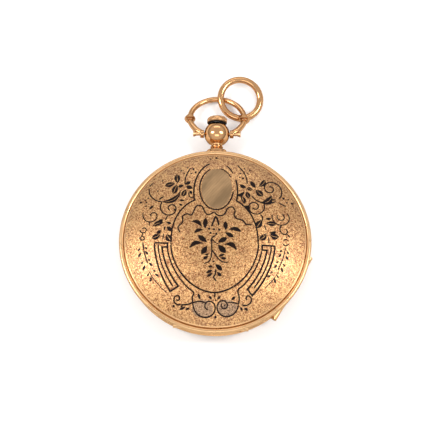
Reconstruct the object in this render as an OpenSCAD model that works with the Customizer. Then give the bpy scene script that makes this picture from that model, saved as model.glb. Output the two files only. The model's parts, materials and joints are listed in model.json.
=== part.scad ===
// Full hunter pocket watch, lying on its back with the pendant towards +Y.
// Origin: middle of the flat on the back cover. Millimetres.

/* [Case] */
// Outer radius of the case
case_r = 20; // [19:0.1:23]
// Height of the seam between the back cover and the band
back_seam = 3.3; // [3.2:0.05:3.6]
// Height of the seam between the band and the front cover
front_seam = 6.3; // [6.3:0.05:6.6]
// Rise of the front cover above its seam
lid_rise = 4.9; // [4.8:0.05:5.8]
// Wall of the front and back covers
cover_wall = 0.45; // [0.35:0.01:0.5]
// Width of the rounded bead round each cover
bead_w = 1; // [0.8:0.05:1.2]
// How much smaller the band and the back cover are than the front cover, on the radius
back_inset = 0.6; // [0.4:0.05:0.65]
// Radius of the flat that the watch rests on
back_flat_r = 9; // [8:0.1:10.5]
// Wall of the inner dust cover
cuvette_wall = 0.35; // [0.28:0.01:0.4]

/* [Case hinges] */
// Length of each hinge tube
hinge_len = 15.6; // [13:0.1:17]
// Radius of the hinge tubes
hinge_tube_r = 0.6; // [0.5:0.01:0.62]
// Radius of the hinge pins
hinge_pin_r = 0.26; // [0.21:0.01:0.31]
// Direction of the hinge of the front cover
front_hinge_turn = -92; // [-100:1:-86]
// Direction of the hinge that the back cover and the dust cover share
back_hinge_turn = -29; // [-40:1:-15]

/* [Pendant and bow] */
// Height of the winding stem above the flat of the back
stem_z = 4.6; // [4.6:0.01:4.7]
// Radius of the ball on the pendant
ball_r = 2.67; // [2.4:0.01:3.1]
// Distance from the middle of the watch to the middle of the ball
ball_y = 24.6; // [24.4:0.1:25]
// Radius of the foot of the pendant
pendant_foot_r = 2.1; // [1.8:0.05:2.15]
// Radius of the crown
crown_r = 2.1; // [1.8:0.05:2.4]
// Height of the crown
crown_h = 1.3; // [1.2:0.05:1.6]
// Radius of the round part of the bow, to the middle of its wire
bow_r = 5.8; // [5.6:0.05:6.2]
// Radius of the bow's wire
bow_wire_r = 0.57; // [0.5:0.01:0.62]
// How far the bow hangs below level at rest
bow_droop = 22; // [18:1:23]
// Radius of the jump ring, to the middle of its wire
ring_r = 4.27; // [4:0.01:4.4]
// Radius of the jump ring's wire
ring_wire_r = 0.7; // [0.58:0.01:0.75]

/* [Dial and hands] */
// Radius of the dial
dial_r = 15.2; // [14.6:0.1:15.4]
// Thickness of the dial
dial_t = 0.35; // [0.3:0.01:0.42]
// Length of the minute hand
minute_len = 12.4; // [10.5:0.1:13.4]
// Length of the hour hand
hour_len = 8.4; // [7:0.1:10]
// Length of the seconds hand
seconds_len = 2.9; // [2.4:0.1:3.2]
// Hour that the hands show
shown_hour = 10; // [0:1:11]
// Minute that the hands show
shown_minute = 9; // [0:1:59]
// Second that the small hand shows
shown_second = 36; // [0:1:59]

/* [Movement] */
// Radius of the main plate
plate_r = 15.7; // [15.6:0.05:15.8]
// Thickness of the main plate
plate_t = 1.2; // [1.1:0.01:1.2]
// Thickness of the bridges
bridge_t = 1.1; // [1.05:0.01:1.1]
// Pitch radius of the barrel's teeth
barrel_r = 6.3; // [6:0.05:6.4]
// Pitch radius of the centre wheel
centre_r = 4.6; // [4.4:0.05:4.7]
// Pitch radius of the third wheel
third_r = 3.6; // [3.4:0.05:3.7]
// Pitch radius of the fourth wheel
fourth_r = 3.4; // [3.2:0.05:3.45]
// Radius of the escape wheel, to the tips of its teeth
escape_r = 2.6; // [2.3:0.05:2.65]
// Radius of the balance rim
balance_r = 4.4; // [3.9:0.05:4.45]
// Distance from the middle of the dial to the seconds arbor
seconds_offset = 7.2; // [7.1:0.05:7.4]

/* [Hidden] */
$fn = 72;
eps = 0.01;
// Gap left between a cover and the band
seam_gap = 0.05;
// Running clearance of a pin or arbor in its hole, on the radius
run_gap = 0.02;
hinge_y = case_r - 1.6;
knuckle_gap = 0.03;
knuckle_swing = 0.1;
// Depth of the gutter that the tubes lie in
hinge_gutter = 1;
knuckles = 5;

back_r = case_r - back_inset;
band_r = back_r - 0.05;
lip_r_out = case_r - 1.6;
lip_r_in = lip_r_out - 0.45;
lip_depth = 0.25;
bezel_r = lip_r_in - 0.25;
bezel_seat_z = front_seam - 0.5;
band_inner_r = bezel_r - 0.3;
ledge_r = plate_r - 0.5;
ledge_t = 0.55;

plate_z = 4.8;
plate_top = plate_z + plate_t;
bridge_z = 2.3;
bridge_top = bridge_z + bridge_t;
dial_z = plate_top + 0.75;
dial_top = dial_z + dial_t;
seconds_sink = 0.1;

cuvette_r = band_inner_r - 0.1;
cuvette_mid_z = 1.1;
cuvette_edge_z = back_seam - 0.35;

// Train counts: each wheel drives the next pinion
barrel_n = 60;
centre_pinion_n = 10;
centre_n = 64;
third_pinion_n = 8;
third_n = 60;
fourth_pinion_n = 8;
fourth_n = 60;
escape_pinion_n = 6;
escape_n = 15;
cannon_n = 10;
minute_wheel_n = 30;
minute_pinion_n = 8;
hour_wheel_n = 32;
ratchet_n = 28;
crown_wheel_n = 23;
crown_face_n = 18;
winding_pinion_n = 12;
hands_n = 20;

barrel_m = 2 * barrel_r / barrel_n;
centre_m = 2 * centre_r / centre_n;
third_m = 2 * third_r / third_n;
fourth_m = 2 * fourth_r / fourth_n;
motion_m = 2 * 1.6 / minute_wheel_n;

function polar(r, a) = [r * cos(a), r * sin(a)];
function angle_to(a, b) = atan2(b[1] - a[1], b[0] - a[0]);
function mesh_distance(m, n1, n2) = m * (n1 + n2) / 2;

centre_pos = [0, 0];
fourth_pos = [seconds_offset, 0];
centre_third = mesh_distance(centre_m, centre_n, third_pinion_n);
third_fourth = mesh_distance(third_m, third_n, fourth_pinion_n);
third_x = (pow(centre_third, 2) - pow(third_fourth, 2) + pow(seconds_offset, 2)) / (2 * seconds_offset);
third_pos = [third_x, sqrt(pow(centre_third, 2) - pow(third_x, 2))];
fourth_escape = mesh_distance(fourth_m, fourth_n, escape_pinion_n);
escape_pos = fourth_pos + polar(fourth_escape, -100);
balance_pos = polar(9.9, -75);
pallet_turn = angle_to(escape_pos, balance_pos);
pallet_reach = escape_r / cos(30);
pallet_pos = escape_pos + polar(pallet_reach, pallet_turn);
barrel_pos = polar(mesh_distance(barrel_m, barrel_n, centre_pinion_n), 135);
minute_pos = polar(mesh_distance(motion_m, cannon_n, minute_wheel_n), 60);
winding_y = 11.2;
winding_len = 1;
face_r = 2.5;
crown_wheel_pos = [0, winding_y + winding_len / 2 - face_r];
ratchet_m = 2 * norm(crown_wheel_pos - barrel_pos) / (ratchet_n + crown_wheel_n);
ratchet_r = ratchet_m * ratchet_n / 2;
crown_wheel_r = ratchet_m * crown_wheel_n / 2;
ratchet_turn = angle_to(barrel_pos, crown_wheel_pos);

// Levels of the movement, from the back towards the dial
winding_z = bridge_z + 0.05;
winding_t = 0.4;
face_z = 3;
barrel_z = 3.5;
barrel_h = 0.9;
centre_z = 4.5;
third_z = 4.1;
fourth_z = 3.7;
escape_z = 4.45;
wheel_t = 0.2;
balance_z = 3.35;
balance_t = 0.5;
hairspring_z = 3;
cock_t = 0.6;
pallet_cock_z = 3.95;
pallet_cock_t = 0.35;
arbor_r = 0.25;
pivot_r = 0.12;
pivot_hole_r = pivot_r + run_gap;
jewel_r = 0.7;
jewel_t = 0.4;

// Radii of the two large cuts that part the bridges
bridge_edge_r = 14.6;
foot_root = 0.4;
foot_inset = 0.12;
bridge_cut_pos = [9.5, -9];
bridge_cut_r = 14;
bridge_gap = 0.25;
balance_room_r = 5.15;

screw_head_r = 0.75;
screw_head_t = 0.4;
screw_shank_r = 0.38;
barrel_bridge_screws = [polar(13.2, 62), polar(13.3, 190), polar(13.2, 97)];
train_bridge_screws = [polar(13.4, 12), polar(13.4, -25)];
cock_screws = [[-6.6, -10.3]];
pallet_cock_screws = [pallet_pos + polar(2.5, pallet_turn - 68)];
case_screw_r = 0.9;
case_screws = [polar(14.7, 168), polar(14.7, -7)];
cock_foot_pos = [-6.6, -10.3];
cock_foot_r = 2.9;

push_travel = 0.3;
sleeve_r = 0.85;
sleeve_y = 17.15;
stem_r = 0.45;
stem_pivot_r = 0.25;
crown_y = ball_y + 2.4;
spring_r = 16.5;
spring_w = 0.55;
spring_z = 4.95;
spring_h = 0.7;

bow_mid = 4.35;
bow_eye_x = ball_r + 0.06;
bow_eye_t = 0.8;

// Shared shapes

module at(p, z = 0) {
    translate([p[0], p[1], z]) children();
}

module ring(r_out, r_in, h) {
    difference() {
        cylinder(r = r_out, h = h);
        translate([0, 0, -1]) cylinder(r = r_in, h = h + 2);
    }
}

// Outline of a toothed wheel: four points a tooth, the first tooth at angle turn
module gear_outline(n, m, turn = 0, add = 0.8, ded = 1.05, root_w = 0.22, tip_w = 0.1) {
    root = m * n / 2 - ded * m;
    tip = m * n / 2 + add * m;
    pitch = 360 / n;
    polygon([
        for (i = [0 : n - 1])
            for (p = [[root, -root_w], [tip, -tip_w], [tip, tip_w], [root, root_w]])
                polar(p[0], turn + (i + p[1]) * pitch)
    ]);
}

module pinion_outline(n, m, turn) {
    gear_outline(n, m, turn, 0.7, 1.05, 0.17, 0.11);
}

// A train wheel: toothed rim, hub and arms
module wheel(n, m, turn, rim_w, hub_r, arms, t) {
    inner = m * n / 2 - 1.05 * m - rim_w;
    linear_extrude(t) {
        difference() {
            gear_outline(n, m, turn);
            circle(r = inner);
        }
        for (i = [0 : arms - 1])
            rotate(turn + i * 360 / arms)
                translate([0, -rim_w / 2]) square([inner + rim_w / 2, rim_w]);
        circle(r = hub_r);
    }
}

module pinion(n, m, turn, h) {
    linear_extrude(h) pinion_outline(n, m, turn);
}

// Arbor from low to high with a finer pivot at each end
module arbor(low, high, low_pivot, high_pivot, r = arbor_r) {
    translate([0, 0, low]) cylinder(r = r, h = high - low);
    translate([0, 0, low_pivot]) cylinder(r = pivot_r, h = high_pivot - low_pivot);
}

// Slotted screw standing on its head at z = 0, shank towards +Z
module screw(head_r, head_t, shank_r, shank_l) {
    difference() {
        cylinder(r = head_r, h = head_t);
        translate([-head_r - 1, -0.09, -1]) cube([2 * head_r + 2, 0.18, 1.15]);
    }
    translate([0, 0, head_t]) cylinder(r = shank_r, h = shank_l);
}

module screw_hole(head_r, head_t, shank_r, shank_l) {
    translate([0, 0, -1]) cylinder(r = head_r + 0.05, h = head_t + 1);
    cylinder(r = shank_r + run_gap, h = head_t + shank_l + 0.1);
}

// Case hinges. The frame of a hinge has X along the pin, Y towards the middle
// of the case and Z away from the seam, on the side of the cover.

module hinge_front() {
    rotate(front_hinge_turn + 90) translate([0, -hinge_y, front_seam]) children();
}

module hinge_back() {
    rotate(back_hinge_turn + 90) translate([0, -hinge_y, back_seam]) mirror([0, 0, 1]) children();
}

module hinge_rod(r, l) {
    rotate([0, 90, 0]) cylinder(r = r, h = l, center = true);
}

function knuckle_x(i) = (i - (knuckles - 1) / 2) * hinge_len / knuckles;

module knuckle(i) {
    translate([knuckle_x(i), 0, 0]) hinge_rod(hinge_tube_r, hinge_len / knuckles - 2 * knuckle_gap);
}

// Room for another piece's knuckle
module knuckle_room(i) {
    translate([knuckle_x(i), 0, 0]) hinge_rod(hinge_tube_r + knuckle_swing, hinge_len / knuckles);
}

// Removes what lies outside the hinge over its length
module hinge_trim(inner_y, low_z) {
    trim_len = hinge_len + 2 * knuckle_gap;
    translate([-trim_len / 2, inner_y - 3, low_z]) cube([trim_len, 3, 5]);
}

// Covers. Each profile starts at the lip and runs up the outside to the middle.

dome_r = case_r - bead_w - 0.1;
function lid_h(r) = 1.05 + (lid_rise - 1.05) * (1 - pow(r / dome_r, 2.6));
function back_h(r) = back_seam - (back_seam - 0.75) * pow(max(r - back_flat_r, 0) / (dome_r - back_flat_r), 2);
function bead_points(r, w, h) = [
    [lip_r_in, -lip_depth], [lip_r_out, -lip_depth], [lip_r_out, 0], [r - 0.15 * w, 0],
    [r, 0.15 * w], [r, 0.6 * h], [r - 0.06 * w, 0.75 * h], [r - 0.2 * w, 0.9 * h],
    [r - 0.45 * w, h], [r - 0.7 * w, 0.97 * h], [r - w, 0.88 * h]
];
lid_radii = [dome_r, 0.965 * dome_r, 0.93 * dome_r, 0.86 * dome_r, 0.78 * dome_r, 0.68 * dome_r,
    0.56 * dome_r, 0.42 * dome_r, 0.26 * dome_r, 0.1 * dome_r];
inner_radii = [for (r = lid_radii) if (r < lip_r_in - 0.2) r];
back_radii = [for (i = [0 : 6]) dome_r + (back_flat_r - dome_r) * i / 6];
back_inner_radii = [for (r = back_radii) if (r < lip_r_in - 0.2) r];

module lid_shell() {
    rotate_extrude($fn = 120) polygon(concat(
        bead_points(case_r, bead_w, 0.9),
        [for (r = lid_radii) [r, lid_h(r)]],
        [[0, lid_h(0)], [0, lid_h(0) - cover_wall]],
        [for (i = [len(inner_radii) - 1 : -1 : 0]) [inner_radii[i], lid_h(inner_radii[i]) - cover_wall]],
        [[lip_r_in, lid_h(lip_r_in) - cover_wall - 0.1]]
    ));
}

module back_shell() {
    rotate_extrude($fn = 120) polygon(concat(
        bead_points(back_r, bead_w - back_inset, 0.7),
        [for (r = back_radii) [r, back_h(r)]],
        [[0, back_h(0)], [0, back_h(0) - cover_wall]],
        [for (i = [len(back_inner_radii) - 1 : -1 : 0])
            [back_inner_radii[i], back_h(back_inner_radii[i]) - cover_wall]],
        [[lip_r_in, back_h(lip_r_in) - cover_wall - 0.05]]
    ));
}

module front_lid() {
    color("#e0b27c") difference() {
        union() {
            difference() {
                translate([0, 0, front_seam]) lid_shell();
                hinge_front() hinge_trim(-hinge_tube_r, -0.4);
            }
            hinge_front() for (i = [1, 3]) knuckle(i);
        }
        hinge_front() for (i = [0, 2, 4]) knuckle_room(i);
        hinge_front() hinge_rod(hinge_pin_r + run_gap, hinge_len + 2);
        // Slot in the lip for the nose of the lock spring
        translate([-1.8, lip_r_in - 1, front_seam - 0.5]) cube([3.6, 1.2, 0.45]);
    }
}

module back_cover() {
    color("#ddae76") difference() {
        union() {
            difference() {
                translate([0, 0, back_seam]) mirror([0, 0, 1]) back_shell();
                hinge_back() hinge_trim(-hinge_tube_r, -0.4);
            }
            hinge_back() for (i = [1, 3]) knuckle(i);
        }
        hinge_back() for (i = [0, 2, 4]) knuckle_room(i);
        hinge_back() hinge_rod(hinge_pin_r + run_gap, hinge_len + 2);
        // Way for the arm of the dust cover
        hinge_back() translate([-cuvette_arm_w / 2 - 0.1, 0, -0.4]) cube([cuvette_arm_w + 0.2, 3.2, 0.8]);
        // Nail notch opposite the hinge
        rotate(back_hinge_turn) translate([-back_r - 0.2, -1.8, back_seam - 0.22]) cube([0.6, 3.6, 0.3]);
    }
}

cuvette_arm_w = 2.6;
cuvette_radii = [1, 0.955, 0.9, 0.83, 0.74, 0.62, 0.45, 0.25];
function cuvette_h(r) = cuvette_mid_z + (cuvette_edge_z - cuvette_mid_z) * pow(r / cuvette_r, 6);

module cuvette() {
    color("#e3b985") difference() {
        union() {
            rotate_extrude($fn = 120) polygon(concat(
                [[0, cuvette_h(0) + cuvette_wall], [0, cuvette_h(0)]],
                [for (i = [len(cuvette_radii) - 1 : -1 : 0])
                    [cuvette_radii[i] * cuvette_r, cuvette_h(cuvette_radii[i] * cuvette_r)]],
                [[cuvette_r, back_seam + 0.4], [cuvette_r - 0.4, back_seam + 0.4]],
                [for (k = cuvette_radii) if (k < 0.96) [k * cuvette_r, cuvette_h(k * cuvette_r) + cuvette_wall]]
            ));
            hinge_back() knuckle(2);
            hinge_back() translate([-cuvette_arm_w / 2, 0.3, 0]) cube([cuvette_arm_w, 2, 0.3]);
        }
        hinge_back() hinge_rod(hinge_pin_r + run_gap, hinge_len + 2);
    }
}

module case_band() {
    color("#d9a970") difference() {
        union() {
            difference() {
                rotate_extrude($fn = 120) polygon([
                    [band_inner_r, back_seam + seam_gap],
                    [lip_r_in - 0.1, back_seam + seam_gap],
                    [lip_r_in - 0.1, back_seam + lip_depth + seam_gap],
                    [lip_r_out + 0.1, back_seam + lip_depth + seam_gap],
                    [lip_r_out + 0.1, back_seam + seam_gap],
                    [band_r - 0.15, back_seam + seam_gap], [band_r, back_seam + 0.3],
                    [band_r, front_seam - 0.3], [band_r - 0.15, front_seam - seam_gap],
                    [lip_r_out + 0.1, front_seam - seam_gap],
                    [lip_r_out + 0.1, front_seam - lip_depth - seam_gap],
                    [bezel_r + 0.05, front_seam - lip_depth - seam_gap],
                    [bezel_r + 0.05, bezel_seat_z], [band_inner_r, bezel_seat_z],
                    [band_inner_r, plate_z], [ledge_r, plate_z], [ledge_r, plate_z - ledge_t],
                    [band_inner_r, plate_z - ledge_t - 0.3]
                ]);
                hinge_front() hinge_trim(0, -hinge_gutter);
                hinge_back() hinge_trim(0, -hinge_gutter);
            }
            hinge_front() for (i = [0, 2, 4]) knuckle(i);
            hinge_back() for (i = [0, 4]) knuckle(i);
        }
        hinge_front() for (i = [1, 3]) knuckle_room(i);
        hinge_back() for (i = [1, 2, 3]) knuckle_room(i);
        hinge_front() hinge_rod(hinge_pin_r + run_gap, hinge_len + 2);
        hinge_back() hinge_rod(hinge_pin_r + run_gap, hinge_len + 2);
        stem_bore(sleeve_r + 0.05);
        for (s = case_springs) spring_hole(s);
    }
}

module front_hinge_pin() {
    color("#c9a070") hinge_front() hinge_rod(hinge_pin_r, hinge_len);
}

module back_hinge_pin() {
    color("#c9a070") hinge_back() hinge_rod(hinge_pin_r, hinge_len);
}

// Springs inside the band: [angle of the screw, angle of the free end, angle of the nose]
case_springs = [[152, 84, 90], [-160, -100, -103]];

module case_spring(s, nose_r, nose_low, nose_high) {
    low = min(s[0], s[1]);
    high = max(s[0], s[1]);
    difference() {
        union() {
            translate([0, 0, spring_z]) rotate(low)
                rotate_extrude(angle = high - low, $fn = 96)
                    translate([spring_r, 0]) square([spring_w, spring_h]);
            rotate(s[2]) translate([spring_r + 0.1, -1.2, nose_low])
                cube([nose_r - spring_r - 0.1, 2.4, nose_high - nose_low]);
        }
        rotate(spring_screw_turn(s)) translate([15, 0, spring_z + spring_h / 2]) rotate([0, 90, 0])
            cylinder(r = 0.3 + run_gap, h = 4);
    }
}

function spring_screw_turn(s) = s[0] + (s[1] > s[0] ? 3 : -3);

module spring_hole(s) {
    rotate(spring_screw_turn(s)) translate([15.9, 0, spring_z + spring_h / 2]) rotate([0, 90, 0])
        cylinder(r = 0.3 + run_gap, h = 2.9);
    rotate(s[2]) translate([15.9, -1.55, bezel_seat_z - 0.75]) cube([2.45, 3.1, 1.5]);
}

module lock_spring() {
    color("#8d97a0") difference() {
        case_spring(case_springs[0], lip_r_in + 0.15, bezel_seat_z - 0.65, front_seam - 0.35);
        stem_bore(stem_r + 0.25);
        // Hollow that the push sleeve bears on
        along_stem(sleeve_y - 0.05) cylinder(r = sleeve_r + 0.2, h = 3);
        bezel_room();
    }
}

module lift_spring() {
    color("#8d97a0") difference() {
        case_spring(case_springs[1], lip_r_in - 0.1, bezel_seat_z - 0.65, bezel_seat_z - 0.1);
        bezel_room();
    }
}

module bezel_room() {
    translate([0, 0, bezel_seat_z - 0.05]) cylinder(r = bezel_r + 0.1, h = 5);
}

module spring_screws() {
    color("#6d7f9a") for (s = case_springs)
        rotate(spring_screw_turn(s)) translate([spring_r - 0.37, 0, spring_z + spring_h / 2])
            rotate([0, 90, 0]) screw(0.48, 0.35, 0.3, 1.8);
}

module stem_bore(r) {
    translate([0, 9, stem_z]) rotate([-90, 0, 0]) cylinder(r = r, h = 30);
}

// Front: bezel, crystal and dial

crystal_r = 15.6;
crystal_t = 0.4;
crystal_edge_z = dial_top + 0.5;
crystal_rise = 1.4;
bezel_in_r = 15;

module bezel() {
    color("#dfb17b") difference() {
        bezel_ring();
        // Way for the nose of the lock spring
        translate([-1.4, bezel_r - 0.4, bezel_seat_z - 0.1]) cube([2.8, 1, 0.35]);
    }
}

module bezel_ring() {
    rotate_extrude($fn = 120) polygon([
        [bezel_r, bezel_seat_z + 0.02], [bezel_r, crystal_edge_z - 0.35], [bezel_r - 0.4, crystal_edge_z],
        [16.4, crystal_edge_z + 0.42], [15.7, crystal_edge_z + 0.68], [bezel_in_r, crystal_edge_z + 0.62],
        [bezel_in_r, crystal_edge_z + 0.02 + crystal_t], [crystal_r + 0.03, crystal_edge_z + 0.02 + crystal_t],
        [crystal_r + 0.03, crystal_edge_z - 0.03], [bezel_in_r - 0.1, crystal_edge_z - 0.03],
        [bezel_in_r - 0.1, dial_top + 0.05], [dial_r + 0.3, dial_top + 0.05],
        [dial_r + 0.3, bezel_seat_z + 0.35], [plate_r + 0.3, bezel_seat_z + 0.35],
        [plate_r + 0.3, bezel_seat_z + 0.02]
    ]);
}

crystal_sphere = (pow(bezel_in_r - 0.2, 2) + pow(crystal_rise, 2)) / (2 * crystal_rise);

// A cap of a sphere with the same wall throughout, on a flat edge that the bezel holds
module crystal() {
    color("#dcecf2", 0.35) translate([0, 0, crystal_edge_z]) {
        ring(crystal_r, bezel_in_r - 0.5, crystal_t - 0.02);
        difference() {
            intersection() {
                translate([0, 0, crystal_t - 0.02 + crystal_rise - crystal_sphere])
                    sphere(r = crystal_sphere, $fn = 120);
                cylinder(r = bezel_in_r - 0.35, h = 3);
            }
            translate([0, 0, crystal_rise - 0.02 - crystal_sphere])
                sphere(r = crystal_sphere, $fn = 120);
        }
    }
}

module dial() {
    color("#f6f3ea") difference() {
        translate([0, 0, dial_z]) cylinder(r = dial_r, h = dial_t);
        at(centre_pos, dial_z - 1) cylinder(r = 0.85, h = 3);
        at(fourth_pos, dial_z - 1) cylinder(r = 0.4, h = 3);
        at(fourth_pos, dial_top - seconds_sink) cylinder(r = seconds_len + 0.4, h = 1);
    }
    // Feet that stand in the main plate
    color("#b98a5a") for (a = [60, 180, 300])
        at(polar(12.6, a), plate_top - 0.6) cylinder(r = 0.4, h = dial_z - plate_top + 0.6);
}

// Hands. Twelve o'clock lies towards -X, because a hunter has its crown at three.

seconds_now = shown_second * 6;
minute_now = shown_minute * 6 + shown_second / 10;
hour_now = shown_hour * 30 + minute_now / 12;

module hand_turn(a) {
    rotate(180 - a) children();
}

// Spade hand: hub, slender arm, spade and point
module spade_hand(len, hub_r, arm_w, spade_r, bore) {
    spade_x = len * 0.72;
    difference() {
        union() {
            circle(r = hub_r);
            polygon([[0, -arm_w], [spade_x, -arm_w * 0.55], [spade_x, arm_w * 0.55], [0, arm_w]]);
            translate([spade_x, 0]) circle(r = spade_r);
            polygon([[spade_x + spade_r * 0.35, -spade_r * 0.9], [len, 0], [spade_x + spade_r * 0.35, spade_r * 0.9]]);
            translate([spade_x - spade_r * 1.15, 0]) circle(r = spade_r * 0.45);
        }
        circle(r = bore);
        translate([spade_x, 0]) circle(r = spade_r * 0.5);
    }
}

hour_hand_z = dial_top + 0.25;
minute_hand_z = dial_top + 0.6;
seconds_hand_z = dial_top + 0.02;
cannon_pipe_r = 0.42;
hour_pipe_r = 0.64;

module hour_hand() {
    color("#20242e") hand_turn(hour_now) translate([0, 0, hour_hand_z])
        linear_extrude(0.14) spade_hand(hour_len, 1.15, 0.3, 1, hour_pipe_r);
}

module minute_hand() {
    color("#20242e") hand_turn(minute_now) translate([0, 0, minute_hand_z])
        linear_extrude(0.14) spade_hand(minute_len, 0.95, 0.26, 0.75, cannon_pipe_r);
}

module seconds_hand() {
    color("#20242e") at(fourth_pos, seconds_hand_z) hand_turn(seconds_now) linear_extrude(0.1) difference() {
        union() {
            circle(r = 0.42);
            polygon([[-1, -0.12], [seconds_len, -0.05], [seconds_len, 0.05], [-1, 0.12]]);
            translate([-1, 0]) circle(r = 0.3);
        }
        circle(r = 0.16);
    }
}

// Pendant group

module along_stem(y) {
    translate([0, y, stem_z]) rotate([-90, 0, 0]) children();
}

neck_r = 1.4;
ball_flat_y = crown_y - push_travel - 0.1;

module pendant() {
    color("#e0a982") difference() {
        along_stem(0) {
            translate([0, 0, ball_y]) sphere(r = ball_r);
            rotate_extrude() polygon([
                [0, band_r - 1.4], [pendant_foot_r, band_r - 1.4], [pendant_foot_r, case_r + 0.1],
                [pendant_foot_r - 0.1, case_r + 0.3], [pendant_foot_r - 0.35, case_r + 0.52],
                [neck_r + 0.2, case_r + 0.85], [neck_r + 0.02, case_r + 1.25], [neck_r, case_r + 1.65],
                [neck_r + 0.1, case_r + 2], [neck_r + 0.35, case_r + 2.4], [neck_r + 0.5, ball_y - 1.8],
                [0, ball_y - 1.8]
            ]);
        }
        cylinder(r = band_r + 0.005, h = 20);
        // Way for the rims of the covers
        translate([0, 0, front_seam - seam_gap]) cylinder(r = case_r + 0.08, h = 3);
        translate([0, 0, back_seam + seam_gap - 3]) cylinder(r = back_r + 0.08, h = 3);
        stem_bore(sleeve_r + 0.05);
        // The ball is cut flat under the crown
        translate([-5, ball_flat_y, stem_z - 5]) cube([10, 5, 10]);
        // Holes for the screws of the bow
        translate([0, ball_y, stem_z]) rotate([0, 90, 0]) cylinder(r = 0.39, h = 20, center = true);
    }
}

// The frame of the bow: X along its pivots, Y towards the top of its arch
module bow_frame() {
    translate([0, ball_y, stem_z]) rotate([-bow_droop, 0, 0]) children();
}

bow_screw_x = bow_eye_x + bow_eye_t + 1.5;

// Beads turned on the wire, about an axis along it
module bow_collar(a) {
    translate([bow_r * cos(a), bow_mid + bow_r * sin(a), 0]) rotate([-90, 0, a])
        rotate_extrude($fn = 48) polygon([
            [0, -0.75], [0.7, -0.75], [0.86, -0.64], [0.86, -0.46], [0.7, -0.34], [1.08, -0.26],
            [1.16, -0.12], [1.16, 0.12], [1.08, 0.26], [0.7, 0.34], [0.86, 0.46], [0.86, 0.64],
            [0.7, 0.75], [0, 0.75]
        ]);
}

module rod(a, b, r) {
    d = b - a;
    len = norm(d);
    translate(a) rotate([0, acos(d[2] / len), atan2(d[1], d[0])]) cylinder(r = r, h = len);
}

module bow() {
    color("#e2ab84") bow_frame() {
        translate([0, bow_mid, 0])
            rotate_extrude(angle = 180, $fn = 96)
                translate([bow_r, 0]) circle(r = bow_wire_r, $fn = 32);
        for (s = [1, -1]) {
            difference() {
                union() {
                    rod([s * bow_r, bow_mid, 0], [s * (bow_eye_x + 0.35), 0.15, 0], bow_wire_r - 0.04);
                    translate([s * (bow_eye_x + bow_eye_t / 2), 0, 0]) hinge_rod(0.85, bow_eye_t);
                }
                hinge_rod(0.39, 20);
                // Flat that faces the ball
                translate([s * (bow_eye_x - 2), 0, 0]) cube([4, 6, 6], center = true);
            }
        }
        bow_collar(0);
        bow_collar(180);
    }
}

module bow_screws() {
    color("#9a7350") translate([0, ball_y, stem_z]) for (s = [0, 180]) rotate([0, 0, s])
        translate([bow_screw_x, 0, 0]) rotate([0, -90, 0]) rotate_extrude($fn = 36) polygon([
            [0, 0], [0.6, 0], [0.6, 0.2], [0.37, 0.75], [0.37, bow_screw_x - 1.3], [0, bow_screw_x - 1.3]
        ]);
}

ring_pos = [4.92, 33.9, 1.54];
ring_lean = [-0.155, 0.11];

// The ring leans on the bow: high at its upper left, low at its lower right
module jump_ring() {
    lean = atan(norm(ring_lean));
    color("#e3b48a") translate(ring_pos) rotate([0, 0, angle_to([0, 0], ring_lean)]) rotate([0, -lean, 0])
        rotate_extrude($fn = 96) translate([ring_r, 0]) circle(r = ring_wire_r, $fn = 32);
}

module crown() {
    flutes = 40;
    color("#d9a273") along_stem(crown_y) difference() {
        intersection() {
            linear_extrude(crown_h) gear_outline(flutes, 2 * crown_r / flutes, 0, 0, 0.9, 0.25, 0.2);
            rotate_extrude() polygon([
                [0, 0], [crown_r - 0.15, 0], [crown_r + 0.05, 0.15], [crown_r + 0.05, crown_h - 0.4],
                [crown_r - 0.25, crown_h - 0.1], [crown_r * 0.6, crown_h], [0, crown_h]
            ]);
        }
        translate([0, 0, -1]) cylinder(r = stem_r, h = 1.9);
        translate([0, 0, -1]) cylinder(r = sleeve_r + 0.1, h = 1.3);
    }
}

module winding_stem() {
    color("#a9adb2") along_stem(0) rotate_extrude() polygon([
        [0, 10.1], [stem_pivot_r, 10.1], [stem_pivot_r, 11.5], [stem_r, 11.5], [stem_r, 14.6],
        [stem_r - 0.12, 14.6], [stem_r - 0.12, 15], [stem_r, 15], [stem_r, crown_y + 0.88], [0, crown_y + 0.88]
    ]);
}

module push_sleeve() {
    color("#b9bcc0") along_stem(sleeve_y) ring(sleeve_r, stem_r + 0.1, crown_y + 0.25 - sleeve_y);
}

// Movement: plate and bridges

module main_plate() {
    color("#d8bd84") difference() {
        union() {
            translate([0, 0, plate_z]) cylinder(r = plate_r, h = plate_t, $fn = 120);
            // Block that carries the inner end of the winding stem
            translate([-0.8, 10.2, plate_z - 0.8]) cube([1.6, 0.85, 0.9]);
            at(minute_pos, plate_top - 0.1) cylinder(r = 0.2, h = 0.66);
        }
        // Slot for the winding parts
        translate([-2.1, winding_y - 0.05, plate_z - 1]) cube([4.2, 3.1, plate_t + 2]);
        along_stem(winding_y - 0.1) cylinder(r = stem_r + 0.15, h = 6);
        stem_bore_pivot();
        at(centre_pos, 0) cylinder(r = 0.45, h = 10);
        at(fourth_pos, 0) cylinder(r = 0.2, h = 10);
        for (p = [third_pos, escape_pos, pallet_pos, balance_pos, barrel_pos]) at(p, 0)
            cylinder(r = pivot_hole_r, h = 10);
        // Sink for the roller under the balance
        at(balance_pos, plate_z - 1) cylinder(r = 1.4, h = 1.2);
        at(barrel_pos, plate_z - 1) cylinder(r = 1.12, h = 1.35);
        for (p = plate_holes()) at(p, 0) cylinder(r = screw_shank_r + run_gap, h = 5.7);
        for (p = case_screws) at(p, 0) cylinder(r = 0.42 + run_gap, h = 5.7);
        for (a = [60, 180, 300]) at(polar(12.6, a), plate_top - 0.7) cylinder(r = 0.4 + run_gap, h = 2);
    }
}

function plate_holes() = concat(barrel_bridge_screws, train_bridge_screws, cock_screws, pallet_cock_screws);

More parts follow.
